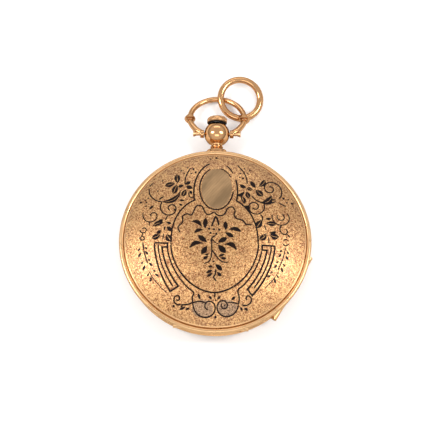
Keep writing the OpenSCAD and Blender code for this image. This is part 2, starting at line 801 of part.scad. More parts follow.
module stem_bore_pivot() {
    translate([0, 9, stem_z]) rotate([-90, 0, 0]) cylinder(r = stem_pivot_r + run_gap, h = 3);
}

// Foot of a bridge, from inside the bridge to the main plate
module foot_arc(from, to, r_in) {
    low = bridge_top - foot_root;
    rotate(from) rotate_extrude(angle = to - from, $fn = 96)
        translate([r_in, low]) square([bridge_edge_r - foot_inset - r_in, plate_z - low]);
}

module case_screw_room() {
    for (p = case_screws) at(p, 0) cylinder(r = case_screw_r + 0.15, h = 4.75);
}

module barrel_bridge() {
    color("#dcdcd8") difference() {
        union() {
            translate([0, 0, bridge_z]) linear_extrude(bridge_t) difference() {
                circle(r = bridge_edge_r, $fn = 120);
                translate(bridge_cut_pos) circle(r = bridge_cut_r + bridge_gap, $fn = 120);
                translate([-20, -25.8]) square([40, 20]);
            }
            foot_arc(52, 76, 11.9);
            foot_arc(180, 198, 12.1);
            foot_arc(94, 103, 12.6);
        }
        // Sinks for the two winding wheels
        at(barrel_pos, bridge_z - 1) cylinder(r = ratchet_r + 0.4, h = 1 + 0.05 + winding_t + 0.05);
        at(crown_wheel_pos, bridge_z - 1) cylinder(r = crown_wheel_r + 0.35, h = 1 + 0.05 + winding_t + 0.05);
        at(crown_wheel_pos, bridge_z) difference() {
            cylinder(r = face_r + 0.55, h = 0.8);
            translate([0, 0, -1]) cylinder(r = face_r - 0.6, h = 3);
        }
        translate([-2.1, winding_y - 0.15, 0]) cube([4.2, 5, plate_z]);
        at(barrel_pos, 0) cylinder(r = 0.8 + run_gap, h = 10);
        at(crown_wheel_pos, 0) cylinder(r = 0.4 + run_gap, h = 3.2);
        for (p = barrel_bridge_screws) at(p, bridge_z + 0.05)
            screw_hole(screw_head_r, screw_head_t, screw_shank_r, 3);
        click_room();
        case_screw_room();
    }
}

module train_bridge() {
    color("#dcdcd8") difference() {
        union() {
            translate([0, 0, bridge_z]) linear_extrude(bridge_t) difference() {
                intersection() {
                    circle(r = bridge_edge_r, $fn = 120);
                    translate(bridge_cut_pos) circle(r = bridge_cut_r, $fn = 120);
                }
                translate([balance_pos[0], balance_pos[1]]) circle(r = balance_room_r);
                translate([-20, -20.9]) square([20 + balance_pos[0], 15.9]);
                translate([balance_pos[0] - 1, -25]) square([20, 25 - 9.4]);
            }
            foot_arc(-36, 16, 12.3);
        }
        for (p = [centre_pos, third_pos, fourth_pos, escape_pos]) at(p, bridge_z) jewel_seat();
        for (p = train_bridge_screws) at(p, bridge_z + 0.05)
            screw_hole(screw_head_r, screw_head_t, screw_shank_r, 3);
        at(crown_wheel_pos, bridge_z - 1) cylinder(r = crown_wheel_r + 0.35, h = 1 + 0.5);
        at(crown_wheel_pos, bridge_z - 1) cylinder(r = face_r + 0.55, h = 1 + 0.8);
        at(barrel_pos, bridge_z - 1) cylinder(r = ratchet_r + 0.4, h = 1 + 0.5);
        case_screw_room();
    }
}

module jewel_seat() {
    translate([0, 0, -0.05]) cylinder(r = jewel_r + 0.01, h = jewel_t + 0.05);
    cylinder(r = 0.45, h = 3);
}

module jewels() {
    color("#b52f4a") {
        for (p = [centre_pos, third_pos, fourth_pos, escape_pos]) at(p, bridge_z + 0.02)
            ring(jewel_r, p == centre_pos ? arbor_r + run_gap : pivot_hole_r, jewel_t - 0.02);
        at(balance_pos, bridge_z + 0.1) ring(0.5, pivot_hole_r, cock_t - 0.2);
        at(pallet_pos, pallet_cock_z) ring(0.45, pivot_hole_r, pallet_cock_t);
    }
}

// A bar with straight sides between two round ends, in the plane
module bar_outline(a, b, ra, rb) {
    d = norm(b - a);
    t = angle_to(a, b);
    translate(a) circle(r = ra);
    translate(b) circle(r = rb);
    translate(a) rotate(t) polygon([[0, -ra], [d, -rb], [d, rb], [0, ra]]);
}

module balance_cock() {
    color("#e2e1db") difference() {
        union() {
            translate([0, 0, bridge_z]) linear_extrude(cock_t) bar_outline(cock_foot_pos, balance_pos, 2.4, 1.9);
            intersection() {
                at(cock_foot_pos, bridge_z) cylinder(r = cock_foot_r, h = plate_z - bridge_z);
                cylinder(r = bridge_edge_r, h = 10);
            }
        }
        at(balance_pos, bridge_z - 1) cylinder(r = 0.51, h = 3);
        at(cock_screws[0], bridge_z + 0.05) screw_hole(screw_head_r, screw_head_t, screw_shank_r, 3);
        at(stud_pos, bridge_z - 1) cylinder(r = 0.27, h = 3);
    }
}

stud_pos = balance_pos + polar(2.75, 150);

module pallet_cock() {
    color("#e2e1db") difference() {
        at([0, 0], pallet_cock_z) union() {
            linear_extrude(pallet_cock_t) bar_outline(pallet_cock_screws[0], pallet_pos, 0.85, 0.75);
            at(pallet_cock_screws[0], 0) cylinder(r = 0.85, h = plate_z - pallet_cock_z);
        }
        at(pallet_pos, pallet_cock_z - 1) cylinder(r = 0.46, h = 3);
        at(pallet_cock_screws[0], 0) cylinder(r = 0.3 + run_gap, h = 10);
    }
}

module bridge_screws() {
    color("#44597d") {
        for (p = concat(barrel_bridge_screws, train_bridge_screws, cock_screws)) at(p, bridge_z + 0.05)
            rotate(37 * p[0]) screw(screw_head_r, screw_head_t, screw_shank_r, 2.7);
    }
}

module case_screws() {
    color("#44597d") for (p = case_screws) at(p, plate_z - ledge_t - 0.65)
        rotate(20) screw(case_screw_r, 0.45, 0.42, 1.3);
}

// Winding work

module barrel_arbor() {
    color("#b4b8bc") at(barrel_pos, 0) {
        translate([0, 0, winding_z + winding_t]) cylinder(r = 0.8, h = barrel_z - winding_z - winding_t);
        translate([0, 0, winding_z]) cylinder(r = 0.42, h = 1);
        translate([0, 0, barrel_z - 0.02]) cylinder(r = 0.55, h = 1.3);
        translate([0, 0, barrel_z + 0.15]) cylinder(r = 1, h = barrel_h - 0.3);
        translate([0, 0, plate_z - 0.02]) cylinder(r = pivot_r, h = 0.8);
    }
}

module barrel() {
    drum_r = barrel_r - 2.2 * barrel_m;
    color("#d4b072") at(barrel_pos, barrel_z) difference() {
        union() {
            linear_extrude(0.4) gear_outline(barrel_n, barrel_m, angle_to(barrel_pos, centre_pos));
            cylinder(r = drum_r, h = barrel_h);
        }
        translate([0, 0, 0.13]) cylinder(r = drum_r - 0.35, h = barrel_h - 0.26);
        translate([0, 0, -1]) cylinder(r = 0.55 + run_gap, h = 3);
    }
}

// Flat spiral band as an outline, from its inner to its outer end
function spiral(r0, r1, turns, steps, start, offset) = [
    for (i = [0 : steps])
        let (a = start + 360 * turns * i / steps, r = r0 + (r1 - r0) * i / steps + offset)
            [r * cos(a), r * sin(a)]
];

module spiral_outline(r0, r1, turns, steps, start, t) {
    out = spiral(r0, r1, turns, steps, start, t / 2);
    inside = spiral(r0, r1, turns, steps, start, -t / 2);
    polygon(concat(out, [for (i = [steps : -1 : 0]) inside[i]]));
}

module mainspring() {
    color("#71787f") at(barrel_pos, barrel_z + 0.18) linear_extrude(barrel_h - 0.36)
        spiral_outline(1.12, barrel_r - 2.2 * barrel_m - 0.5, 7, 126, 40, 0.16);
}

module ratchet_wheel() {
    color("#cfd3d6") at(barrel_pos, winding_z) difference() {
        linear_extrude(winding_t) gear_outline(ratchet_n, ratchet_m, ratchet_turn);
        translate([0, 0, -1]) cylinder(r = 0.42 + run_gap, h = 3);
        translate([0, 0, -1]) cylinder(r = 1.05, h = 1.2);
    }
}

module ratchet_screw() {
    color("#44597d") at(barrel_pos, winding_z - 0.12) difference() {
        cylinder(r = 1, h = 0.3);
        translate([-2, -0.12, -1]) cube([4, 0.24, 1.12]);
        translate([0, 0, 0.12]) cylinder(r = 0.42 + run_gap, h = 1);
    }
}

module crown_wheel() {
    color("#cfd3d6") at(crown_wheel_pos, 0) difference() {
        union() {
            translate([0, 0, winding_z]) linear_extrude(winding_t)
                gear_outline(crown_wheel_n, ratchet_m, ratchet_turn + 180 + 180 / crown_wheel_n);
            // Teeth on the face, for the winding pinion
            for (i = [0 : crown_face_n - 1]) rotate(90 + 180 / crown_face_n + i * 360 / crown_face_n)
                translate([face_r - 0.45, -0.2, winding_z + winding_t - eps]) cube([0.9, 0.4, face_z - winding_z - winding_t]);
        }
        cylinder(r = 1.1, h = 10);
        cylinder(r = 1.55, h = winding_z + 0.17);
    }
}

module crown_wheel_screw() {
    color("#44597d") at(crown_wheel_pos, winding_z) {
        difference() {
            cylinder(r = 1.5, h = 0.15);
            translate([-2, -0.12, -1]) cube([4, 0.24, 1.06]);
        }
        cylinder(r = 1.08, h = 0.44);
        cylinder(r = 0.4, h = 0.8);
    }
}

click_pos = barrel_pos + polar(ratchet_r + 1.9, 196);
click_tip = barrel_pos + polar(ratchet_r + 0.22 + 0.2, 216);

module click_room() {
    translate([0, 0, bridge_z - 1]) linear_extrude(1 + 0.5) {
        bar_outline(click_pos, click_tip, 1, 0.75);
        translate(barrel_pos) rotate(138) difference() {
            circle(r = ratchet_r + 2.6);
            circle(r = ratchet_r + 0.3);
            translate([-20, -40]) square([40, 40]);
            rotate(50) translate([-20, 0]) square([40, 20]);
        }
    }
    at(click_pos, bridge_z) cylinder(r = 0.3 + run_gap, h = 0.85);
}

// Pawl that lies against the ratchet's teeth
module click() {
    color("#b8bcc0") translate([0, 0, winding_z]) difference() {
        linear_extrude(winding_t) bar_outline(click_pos, click_tip, 0.75, 0.2);
        at(click_pos, -1) cylinder(r = 0.3 + run_gap, h = 3);
    }
}

module click_spring() {
    color("#8d97a0") translate([0, 0, winding_z]) {
        at(barrel_pos) rotate(152) rotate_extrude(angle = 26)
            translate([ratchet_r + 1.25, 0]) square([0.2, winding_t]);
        at(barrel_pos + polar(ratchet_r + 1.35, 150)) cylinder(r = 0.5, h = winding_t);
    }
    color("#44597d") at(click_pos, winding_z) cylinder(r = 0.3, h = winding_t + 0.3);
}

module winding_pinion() {
    pinion_m = 2 * 1.6 / winding_pinion_n;
    color("#b8bcc0") along_stem(winding_y) difference() {
        linear_extrude(winding_len)
            gear_outline(winding_pinion_n, pinion_m, -90, 0.75, 0.8, 0.2, 0.1);
        translate([0, 0, -1]) cylinder(r = stem_r + run_gap, h = 3);
    }
}

module sliding_pinion() {
    color("#b8bcc0") along_stem(winding_y + winding_len + 0.03) difference() {
        union() {
            cylinder(r = 1.15, h = 0.5);
            cylinder(r = 0.8, h = 1.2);
            translate([0, 0, 1.1]) cylinder(r = 1.15, h = 0.5);
        }
        translate([0, 0, -1]) cylinder(r = stem_r + run_gap, h = 5);
    }
}

// Going train

module centre_wheel() {
    color("#d9b568") at(centre_pos, 0) {
        translate([0, 0, centre_z])
            wheel(centre_n, centre_m, angle_to(centre_pos, third_pos), 0.5, 0.9, 5, wheel_t);
        translate([0, 0, barrel_z]) pinion(centre_pinion_n, barrel_m,
            angle_to(barrel_pos, centre_pos) + 180 + 180 / centre_pinion_n, centre_z - barrel_z);
        translate([0, 0, bridge_z + 0.1]) cylinder(r = arbor_r, h = plate_top + 1.2 - bridge_z - 0.1);
    }
}

module third_wheel() {
    color("#d9b568") at(third_pos, 0) {
        translate([0, 0, third_z])
            wheel(third_n, third_m, angle_to(third_pos, fourth_pos), 0.42, 0.7, 5, wheel_t);
        translate([0, 0, third_z + wheel_t]) pinion(third_pinion_n, centre_m,
            angle_to(centre_pos, third_pos) + 180 + 180 / third_pinion_n, plate_z - third_z - wheel_t - 0.05);
        arbor(bridge_top + 0.1, third_z, bridge_z + 0.1, plate_z + 0.9);
    }
}

module fourth_wheel() {
    color("#d9b568") at(fourth_pos, 0) {
        translate([0, 0, fourth_z])
            wheel(fourth_n, fourth_m, angle_to(fourth_pos, escape_pos), 0.42, 0.6, 4, wheel_t);
        translate([0, 0, fourth_z + wheel_t]) pinion(fourth_pinion_n, third_m,
            angle_to(third_pos, fourth_pos) + 180 + 180 / fourth_pinion_n, 0.5);
        arbor(bridge_top + 0.1, plate_z - 0.05, bridge_z + 0.1, plate_z);
        translate([0, 0, plate_z - 0.1]) cylinder(r = 0.16, h = seconds_hand_z + 0.15 - plate_z + 0.1);
    }
}

// Escape wheel with raked club teeth
module escape_outline() {
    pitch = 360 / escape_n;
    root = escape_r * 0.78;
    polygon([
        for (i = [0 : escape_n - 1])
            for (p = [[root, 0], [root, 0.42], [escape_r * 0.95, 0.68], [escape_r, 0.86], [escape_r * 0.93, 0.9],
                [root, 0.78]])
                polar(p[0], escape_turn + (i + p[1]) * pitch)
    ]);
}

escape_turn = 7;

module escape_wheel() {
    color("#c9ccd0") at(escape_pos, 0) {
        translate([0, 0, escape_z]) linear_extrude(wheel_t) {
            difference() {
                escape_outline();
                circle(r = escape_r * 0.64);
            }
            for (i = [0 : 3]) rotate(45 + i * 90) translate([0, -0.16]) square([escape_r * 0.7, 0.32]);
            circle(r = 0.6);
        }
        translate([0, 0, fourth_z - 0.05]) pinion(escape_pinion_n, fourth_m,
            angle_to(fourth_pos, escape_pos) + 180 + 180 / escape_pinion_n, escape_z - fourth_z + 0.05);
        arbor(bridge_top + 0.1, plate_z - 0.05, bridge_z + 0.1, plate_z + 0.9, 0.18);
    }
}

// Lever with its fork, two arms and arbor. The frame has X towards the balance.
stone_gap = 0.15;

module pallet_frame() {
    at(pallet_pos, 0) rotate(pallet_turn) children();
}

module pallet_fork() {
    horn = norm(balance_pos - pallet_pos) - 0.75;
    color("#b0b5ba") pallet_frame() {
        translate([0, 0, escape_z]) linear_extrude(wheel_t) difference() {
            union() {
                circle(r = 0.5);
                polygon([[0, -0.22], [horn - 0.5, -0.14], [horn - 0.5, 0.14], [0, 0.22]]);
                for (s = [1, -1]) {
                    polygon([[horn - 0.6, 0], [horn - 0.5, s * 0.45], [horn + 0.05, s * 0.4],
                        [horn + 0.05, s * 0.17], [horn - 0.3, s * 0.14]]);
                    polygon([[0.35, 0], [0.1, s * 0.5], [-0.42, s * 1.75], [-0.78, s * 1.75], [-0.6, s * 1.1],
                        [-0.35, 0]]);
                }
            }
            for (s = [1, -1]) stone_outline(s, 0.005);
        }
        arbor(pallet_cock_z + pallet_cock_t + 0.03, plate_z - 0.05, pallet_cock_z + 0.05, plate_z + 0.9, 0.2);
    }
}

module stone_outline(s, grow = 0) {
    translate([-pallet_reach, 0]) rotate(s * 30)
        translate([escape_r + stone_gap, -0.13 - grow]) square([0.5 + grow, 0.26 + 2 * grow]);
}

module pallet_stones() {
    color("#b52f4a") pallet_frame() for (s = [1, -1])
        translate([0, 0, escape_z + 0.01]) linear_extrude(wheel_t - 0.02) stone_outline(s);
}

// Balance

module balance_wheel() {
    color("#dcb766") at(balance_pos, balance_z) rotate(20) {
        ring(balance_r, balance_r - 0.5, balance_t);
        translate([0, 0, 0.1]) difference() {
            union() {
                translate([-balance_r + 0.3, -0.3, 0]) cube([2 * balance_r - 0.6, 0.6, 0.25]);
                cylinder(r = 0.8, h = 0.25);
            }
            translate([0, 0, -1]) cylinder(r = 0.3, h = 3);
        }
    }
}

module balance_screws() {
    color("#e4c272") at(balance_pos, balance_z + balance_t / 2) for (i = [0 : 11]) rotate(35 + i * 30)
        translate([balance_r + 0.02, 0, 0]) rotate([0, 90, 0]) cylinder(r = 0.2, h = 0.3);
}

module balance_staff() {
    color("#b4b8bc") at(balance_pos, 0) {
        translate([0, 0, hairspring_z]) cylinder(r = 0.3, h = 1.05);
        translate([0, 0, hairspring_z + 0.02]) cylinder(r = 0.5, h = 0.2);
        translate([0, 0, 4.05]) cylinder(r = 0.95, h = 0.2);
        translate([0, 0, 4]) cylinder(r = 0.2, h = 0.75);
        translate([0, 0, bridge_z + 0.2]) cylinder(r = pivot_r, h = plate_z + 0.9 - bridge_z - 0.2);
        // Impulse pin, short of the fork
        rotate(pallet_turn) translate([-0.72, 0, 4.2]) cylinder(r = 0.1, h = 0.2);
    }
}

module hairspring() {
    color("#5d78a8") at(balance_pos, hairspring_z + 0.02) linear_extrude(0.18)
        spiral_outline(0.56, 2.75, 8, 144, 150, 0.06);
}

module hairspring_stud() {
    color("#b4b8bc") at(stud_pos, 0) difference() {
        translate([0, 0, bridge_z + 0.05]) cylinder(r = 0.25, h = hairspring_z + 0.25 - bridge_z - 0.05);
        rotate(150) translate([-1, -1, hairspring_z]) cube([1.06, 2, 1]);
    }
}

module regulator() {
    color("#c4c8cc") at(balance_pos, bridge_z - 0.22) difference() {
        linear_extrude(0.2) {
            circle(r = 1.05);
            rotate(190) polygon([[0.5, -0.35], [3.4, -0.1], [3.7, 0], [3.4, 0.1], [0.5, 0.35]]);
            rotate(125) polygon([[0.5, -0.2], [2, -0.12], [2, 0.12], [0.5, 0.2]]);
        }
        translate([0, 0, -1]) cylinder(r = 0.55, h = 3);
    }
}

// Motion work under the dial

module cannon_pinion() {
    color("#b4b8bc") at(centre_pos, 0) difference() {
        union() {
            translate([0, 0, plate_top + 0.05]) pinion(cannon_n, motion_m, angle_to(centre_pos, minute_pos), 0.32);
            translate([0, 0, plate_top + 0.05]) cylinder(r = cannon_pipe_r, h = minute_hand_z + 0.2 - plate_top - 0.05);
        }
        cylinder(r = arbor_r + 0.005, h = plate_top + 1.3);
    }
}

module minute_wheel() {
    color("#d9b568") at(minute_pos, plate_top + 0.1) difference() {
        union() {
            linear_extrude(0.18) gear_outline(minute_wheel_n, motion_m, angle_to(minute_pos, centre_pos) + 180 / minute_wheel_n);
            translate([0, 0, 0.18]) pinion(minute_pinion_n, motion_m, angle_to(minute_pos, centre_pos) + 180 / minute_pinion_n, 0.34);
        }
        translate([0, 0, -1]) cylinder(r = 0.2 + run_gap, h = 3);
    }
}

module hour_wheel() {
    color("#d9b568") at(centre_pos, plate_top + 0.42) difference() {
        union() {
            linear_extrude(0.2) gear_outline(hour_wheel_n, motion_m, angle_to(centre_pos, minute_pos));
            cylinder(r = hour_pipe_r, h = hour_hand_z + 0.14 - plate_top - 0.42);
        }
        translate([0, 0, -1]) cylinder(r = cannon_pipe_r + run_gap, h = 4);
    }
}

front_lid();
back_cover();
cuvette();
case_band();
front_hinge_pin();
back_hinge_pin();
bezel();
crystal();
dial();
hour_hand();
minute_hand();
seconds_hand();
pendant();
bow();
bow_screws();
jump_ring();
crown();
winding_stem();
push_sleeve();
lock_spring();
lift_spring();
spring_screws();
case_screws();
main_plate();
barrel_bridge();
train_bridge();
balance_cock();
pallet_cock();
bridge_screws();
jewels();
barrel();
barrel_arbor();
mainspring();
ratchet_wheel();
ratchet_screw();
crown_wheel();
crown_wheel_screw();
click();
click_spring();
winding_pinion();
sliding_pinion();
centre_wheel();
third_wheel();
fourth_wheel();
escape_wheel();
pallet_fork();
pallet_stones();
balance_wheel();
balance_screws();
balance_staff();
hairspring();
hairspring_stud();
regulator();
cannon_pinion();
minute_wheel();
hour_wheel();
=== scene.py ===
"""Looks of a full hunter pocket watch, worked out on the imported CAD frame.

The lid, back, pendant, bow and ring are smooth surfaces of revolution or tubes along a
path, the band and the crown are the CAD's own meshes with other finishes, and the
ornament is laid on the lid by the lid's own height formula. All sizes are in mm.
"""

import json
import math

import bmesh
import bpy
import numpy as np
from bpy.props import FloatProperty, FloatVectorProperty, IntProperty, PointerProperty
from mathutils import Matrix, Vector


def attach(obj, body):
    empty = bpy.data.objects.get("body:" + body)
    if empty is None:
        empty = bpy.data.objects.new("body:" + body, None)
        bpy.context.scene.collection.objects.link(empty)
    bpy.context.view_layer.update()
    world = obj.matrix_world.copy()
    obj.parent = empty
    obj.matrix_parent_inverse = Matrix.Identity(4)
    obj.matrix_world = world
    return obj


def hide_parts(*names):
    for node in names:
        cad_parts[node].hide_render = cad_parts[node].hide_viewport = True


bl_info = {
    "name": "Hunter Pocket Watch",
    "version": (1, 0, 0),
    "blender": (4, 5, 0),
    "location": "View3D > Sidebar > Watch",
    "description": "Builds the engraved case, pendant, dial and finishes of a full hunter pocket watch",
    "category": "Add Mesh",
}

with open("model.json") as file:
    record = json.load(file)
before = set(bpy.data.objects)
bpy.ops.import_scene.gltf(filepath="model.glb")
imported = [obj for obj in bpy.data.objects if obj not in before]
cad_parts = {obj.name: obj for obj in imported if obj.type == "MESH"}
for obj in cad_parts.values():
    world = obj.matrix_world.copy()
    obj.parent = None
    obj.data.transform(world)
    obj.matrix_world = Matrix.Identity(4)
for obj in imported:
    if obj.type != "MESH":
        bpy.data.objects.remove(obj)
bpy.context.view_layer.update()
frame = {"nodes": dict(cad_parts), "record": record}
MM = 0.001

# Heights and radii of the case, as the CAD has them
CASE_R = 20.0
FRONT_SEAM = 6.3
BACK_SEAM = 3.3
LID_RISE = 4.9
SHOULDER = 1.05
DOME_R = 18.9
FLAT_R = 9.0
INSIDE_R = 17.6
LIP_R = 17.95
COVER_WALL = 0.45
BAND_R = 19.35
BACK_R = 19.4
# Hinges: turns round the case, radius of their axis, tubes, pins, and how much longer each knuckle's room is
FRONT_HINGE = -92.0
BACK_HINGE = -29.0
HINGE_R = 18.4
HINGE_LEN = 15.6
HINGE_HALF = HINGE_LEN / 2 + 0.03
TUBE_R = 0.6
PIN_R = 0.26
ROOM_PLAY = 0.02
COVER_KNUCKLES = (1, 3)
BAND_KNUCKLES = (0, 2, 4)
# Depth of the band's gutter under the front hinge
GUTTER = 1.75
# Pendant, bow and jump ring
STEM_Z = 4.6
BALL_Y = 24.6
BALL_R = 2.67
BALL_FLAT = 2.0
FOOT_R = 2.1
FOOT_TOP = 20.5
STEM_BORE = 0.9
SCREW_BORE = 0.39
EYE_R = 0.85
BOW_DROOP = 22.0
BOW_R = 5.8
BOW_WIRE = 0.57
BOW_MID = 4.35
EYE_X = BALL_R + 0.06
EYE_T = 0.8
SCREW_X = EYE_X + EYE_T + 1.5
RING_AT = (4.92, 33.9, 1.54)
RING_LEAN = (-0.155, 0.11)
RING_R = 4.27
RING_WIRE = 0.7
# Dial: its height, the height of its marks over it, its seconds dial's middle and depth, the numerals, and
# the seconds figures with their strokes
DIAL_TOP = 7.1
MARKS = (-0.01, 0.012)
SECONDS_X = 7.2
SECONDS_SUNK = 0.1
NUMERAL_R, NUMERAL_HIGH = 10.1, 2.7
FIGURE_R, FIGURE_WIDE, FIGURE_HALF, FIGURE_STEP, FIGURE_LINE = 1.9, 0.2, 0.22, 0.34, 0.055
# Tracks: inner ends of the long and the short strokes, outer end, widths, and the radii and width of the
# rings
MINUTE_TRACK = ((13.55, 13.55), 14.15, (0.24, 0.09), (13.5, 14.15, 0.06))
SECONDS_TRACK = ((2.45, 2.65), 2.95, (0.09, 0.05), (2.95, 0.05))


# Colours and sizes that a user may change


def rgb(r, g, b):
    """Linear colour of a display colour of 0 to 255: ((c + 0.055) / 1.055) to the power 2.4."""
    c = np.array((r, g, b), float) / 255
    return tuple(np.where(c <= 0.04045, c / 12.92, ((c + 0.055) / 1.055) ** 2.4).tolist()) + (1.0,)


def colour(name, text, *value):
    return FloatVectorProperty(name=name, description=text, subtype="COLOR", size=4, min=0, max=1,
                               default=rgb(*value))


def length(name, text, value, low, high):
    return FloatProperty(name=name, description=text, default=value * MM, min=low * MM, max=high * MM,
                         unit="LENGTH", precision=5)


class WatchColours(bpy.types.PropertyGroup):
    """Colours of the metals, the enamel and the dial."""

    case_gold: colour("Case gold", "Polished gold of the band, the rims and the back", 212, 170, 124)
    ground_gold: colour("Ground gold", "Raised grains of the lid's stippled ground", 206, 158, 98)
    ground_shade: colour("Ground shade", "Hollows between the grains of the ground", 122, 72, 34)
    shield_gold: colour("Shield gold", "Matt ground of the bare shield", 150, 121, 88)
    pink_gold: colour("Pink gold", "Polished gold of the pendant, bow and ring", 202, 154, 108)
    enamel_black: colour("Enamel black", "Black enamel of the ornament", 20, 8, 4)
    dial_white: colour("Dial white", "Fired enamel of the dial", 244, 241, 232)
    blued_steel: colour("Blued steel", "Screws and hands", 52, 74, 128)
    bridge_nickel: colour("Bridge nickel", "Striped bridges of the movement", 218, 216, 208)
    plate_gilt: colour("Plate gilt", "Gilt main plate and barrel", 226, 196, 136)
    wheel_brass: colour("Wheel brass", "Wheels of the train", 224, 184, 104)
    jewel_red: colour("Jewel red", "Ruby of the bearings and pallet stones", 186, 34, 70)


class WatchSizes(bpy.types.PropertyGroup):
    """Sizes of what Blender adds to the case."""

    grain: length("Grain", "Width of a grain of the stippled ground", 0.48, 0.2, 1.0)
    enamel_rise: length("Enamel rise", "Height of the enamel over the ground", 0.035, 0.01, 0.1)
    line_scale: FloatProperty(name="Line width", description="Scale of the width of the enamel lines",
                              default=2.3,
                              min=0.5, max=4.0)
    rim_start: length("Rim start", "Radius at which the stippled ground ends", 18.65, 17.0, 18.85)
    turns: IntProperty(name="Turns", description="Steps round each turned piece", default=256, min=64,
                       max=512)


# Meshes as whole arrays


def grid(points, wrap=True, poles=(), closed=False):
    """A grid of points and its quads. The last column meets the first if wrap is true; the rows named in
    poles are drawn together to one point; the last row is the first if closed is true."""
    rows, cols = points.shape[:2]
    i = np.arange(rows - 1)[:, None]
    j = np.arange(cols if wrap else cols - 1)[None, :]
    k = (j + 1) % cols
    quads = np.stack([i * cols + j, i * cols + k, (i + 1) * cols + k, (i + 1) * cols + j], -1).reshape(-1, 4)
    index = np.arange(rows * cols).reshape(rows, cols)
    for row in poles:
        index[row] = index[row, 0]
    if closed:
        index[-1] = index[0]
    return points.reshape(-1, 3), index.reshape(-1)[quads]


def shade_smooth(mesh, angle):
    """Smooth faces, with every edge sharper than the angle kept sharp."""
    mesh.polygons.foreach_set("use_smooth", np.ones(len(mesh.polygons), bool))
    mesh.set_sharp_from_angle(angle=math.radians(angle))


def new_object(name, mesh, *materials):
    mesh.materials.clear()
    for material in materials:
        mesh.materials.append(material)
    obj = bpy.data.objects.new(name, mesh)
    bpy.context.scene.collection.objects.link(obj)
    return obj


def make_piece(name, parts, *materials, sharp=35):
    """One mesh object from (points, faces) parts. Faces are rows of corner numbers; a repeated corner is
    dropped."""
    points, faces, base = [], [], 0
    for p, f in parts:
        points.append(np.asarray(p, float).reshape(-1, 3) * MM)
        rows = (tuple(dict.fromkeys(row)) for row in (np.asarray(f) + base).tolist())
        faces += [row for row in rows if len(row) > 2]
        base += len(points[-1])
    mesh = bpy.data.meshes.new(name)
    mesh.from_pydata(np.concatenate(points), [], faces)
    mesh.update()
    shade_smooth(mesh, sharp)
    return new_object(name, mesh, *materials)


def hand_over(obj, body, slot, *nodes):
    """Put the object under its body's empty and, where it stands in for CAD nodes, hide those nodes. The slot
    is not used.
    """
    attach(obj, body)
    if nodes:
        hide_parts(*nodes)


def turned(profile, steps):
    """Surface of revolution about Z: each (radius, height) of the profile times (cos a, sin a, 1). It faces
    outwards when the profile runs counter-clockwise seen with radius to the right. A profile off the axis is
    closed."""
    p = np.asarray(profile, float)
    if (p[0] != p[-1]).any() and p[0, 0] > 0 and p[-1, 0] > 0:
        p = np.vstack([p, p[:1]])
    a = np.linspace(0, 2 * np.pi, steps, endpoint=False)
    points = np.stack([p[:, :1] * np.cos(a), p[:, :1] * np.sin(a), np.repeat(p[:, 1:], steps, 1)], -1)
    return grid(points, poles=np.flatnonzero(p[:, 0] <= 1e-9), closed=(p[0] == p[-1]).all())


def unit(v):
    """Rows scaled to length 1."""
    return v / np.maximum(np.linalg.norm(v, axis=-1, keepdims=True), 1e-12)


def circle(degrees):
    """Cosine and sine of an angle or of each of many angles."""
    a = np.radians(degrees)
    return np.stack([np.cos(a), np.sin(a)], -1)


def flat(points):
    """Points of a plane as points in space."""
    return np.pad(points, ((0, 0), (0, 1)))


def tube(path, radius, sides=32, closed=False):
    """Tube along a path: path point plus radius times (cos t * n + sin t * b), where n and b are carried
    along the path square to its direction. The radius may change along the path."""
    p = np.asarray(path, float)
    r = np.broadcast_to(np.asarray(radius, float), (len(p),))[:, None, None]
    d = unit(np.roll(p, -1, 0) - np.roll(p, 1, 0) if closed else np.gradient(p, axis=0))
    up = np.linalg.svd(p - p.mean(0))[2][2] if closed or len(p) > 3 else np.array((0.0, 0, 1))
    if abs(np.abs(d @ up).max()) > 0.95:
        up = np.array((0.3, 0.2, 1.0))
    n = unit(np.cross(np.broadcast_to(up, d.shape), d))
    b = np.cross(d, n)
    t = np.linspace(0, 2 * np.pi, sides, endpoint=False)[None, :, None]
    points = p[:, None] + r * (np.cos(t) * n[:, None] + np.sin(t) * b[:, None])
    if closed:
        return grid(np.concatenate([points, points[:1]]), closed=True)
    ends = (np.repeat(p[k, None, None], sides, 1) for k in (0, -1))
    return grid(np.concatenate([next(ends), points, next(ends)]), poles=(0, -1))


def moved(part, matrix):
    """The part turned and moved by a 4 by 4 matrix whose lengths are in mm."""
    m = np.array(matrix, float)
    return np.asarray(part[0]).reshape(-1, 3) @ m[:3, :3].T + m[:3, 3], part[1]


def shift(x, y, z):
    return Matrix.Translation((x, y, z))


def turn(degrees, axis):
    return Matrix.Rotation(math.radians(degrees), 4, axis)


def along(points, at, run):
    """Points of a line at given lengths of its run."""
    return np.stack([np.interp(at, run, points[:, k]) for k in range(points.shape[1])], -1)


def run_of(points):
    """Length of the line up to each of its points."""
    return np.concatenate([[0], np.cumsum(np.linalg.norm(np.diff(points, axis=0), axis=1))])


def smooth_curve(points, step):
    """Points joined by a Catmull-Rom curve and taken at even steps of its length."""
    p = np.asarray(points, float)
    q = np.vstack([2 * p[0] - p[1], p, 2 * p[-1] - p[-2]])
    t = np.linspace(0, 1, 12, endpoint=False)[None, :, None]
    a, b, c, d = (q[i:len(q) - 3 + i, None] for i in range(4))
    s = 0.5 * (2 * b + (c - a) * t + (2 * a - 5 * b + 4 * c - d) * t**2 + (3 * b - a - 3 * c + d) * t**3)
    s = np.vstack([s.reshape(-1, p.shape[1]), p[-1:]])
    run = run_of(s)
    return along(s, np.linspace(0, run[-1], max(3, int(run[-1] / step) + 1)), run)


def corner_line(points, step):
    """Points joined by straight pieces, cut into steps, so that its corners stay sharp."""
    p = np.asarray(points, float)
    run = run_of(p)
    return along(p, np.unique(np.concatenate([run, np.arange(0, run[-1], step)])), run)


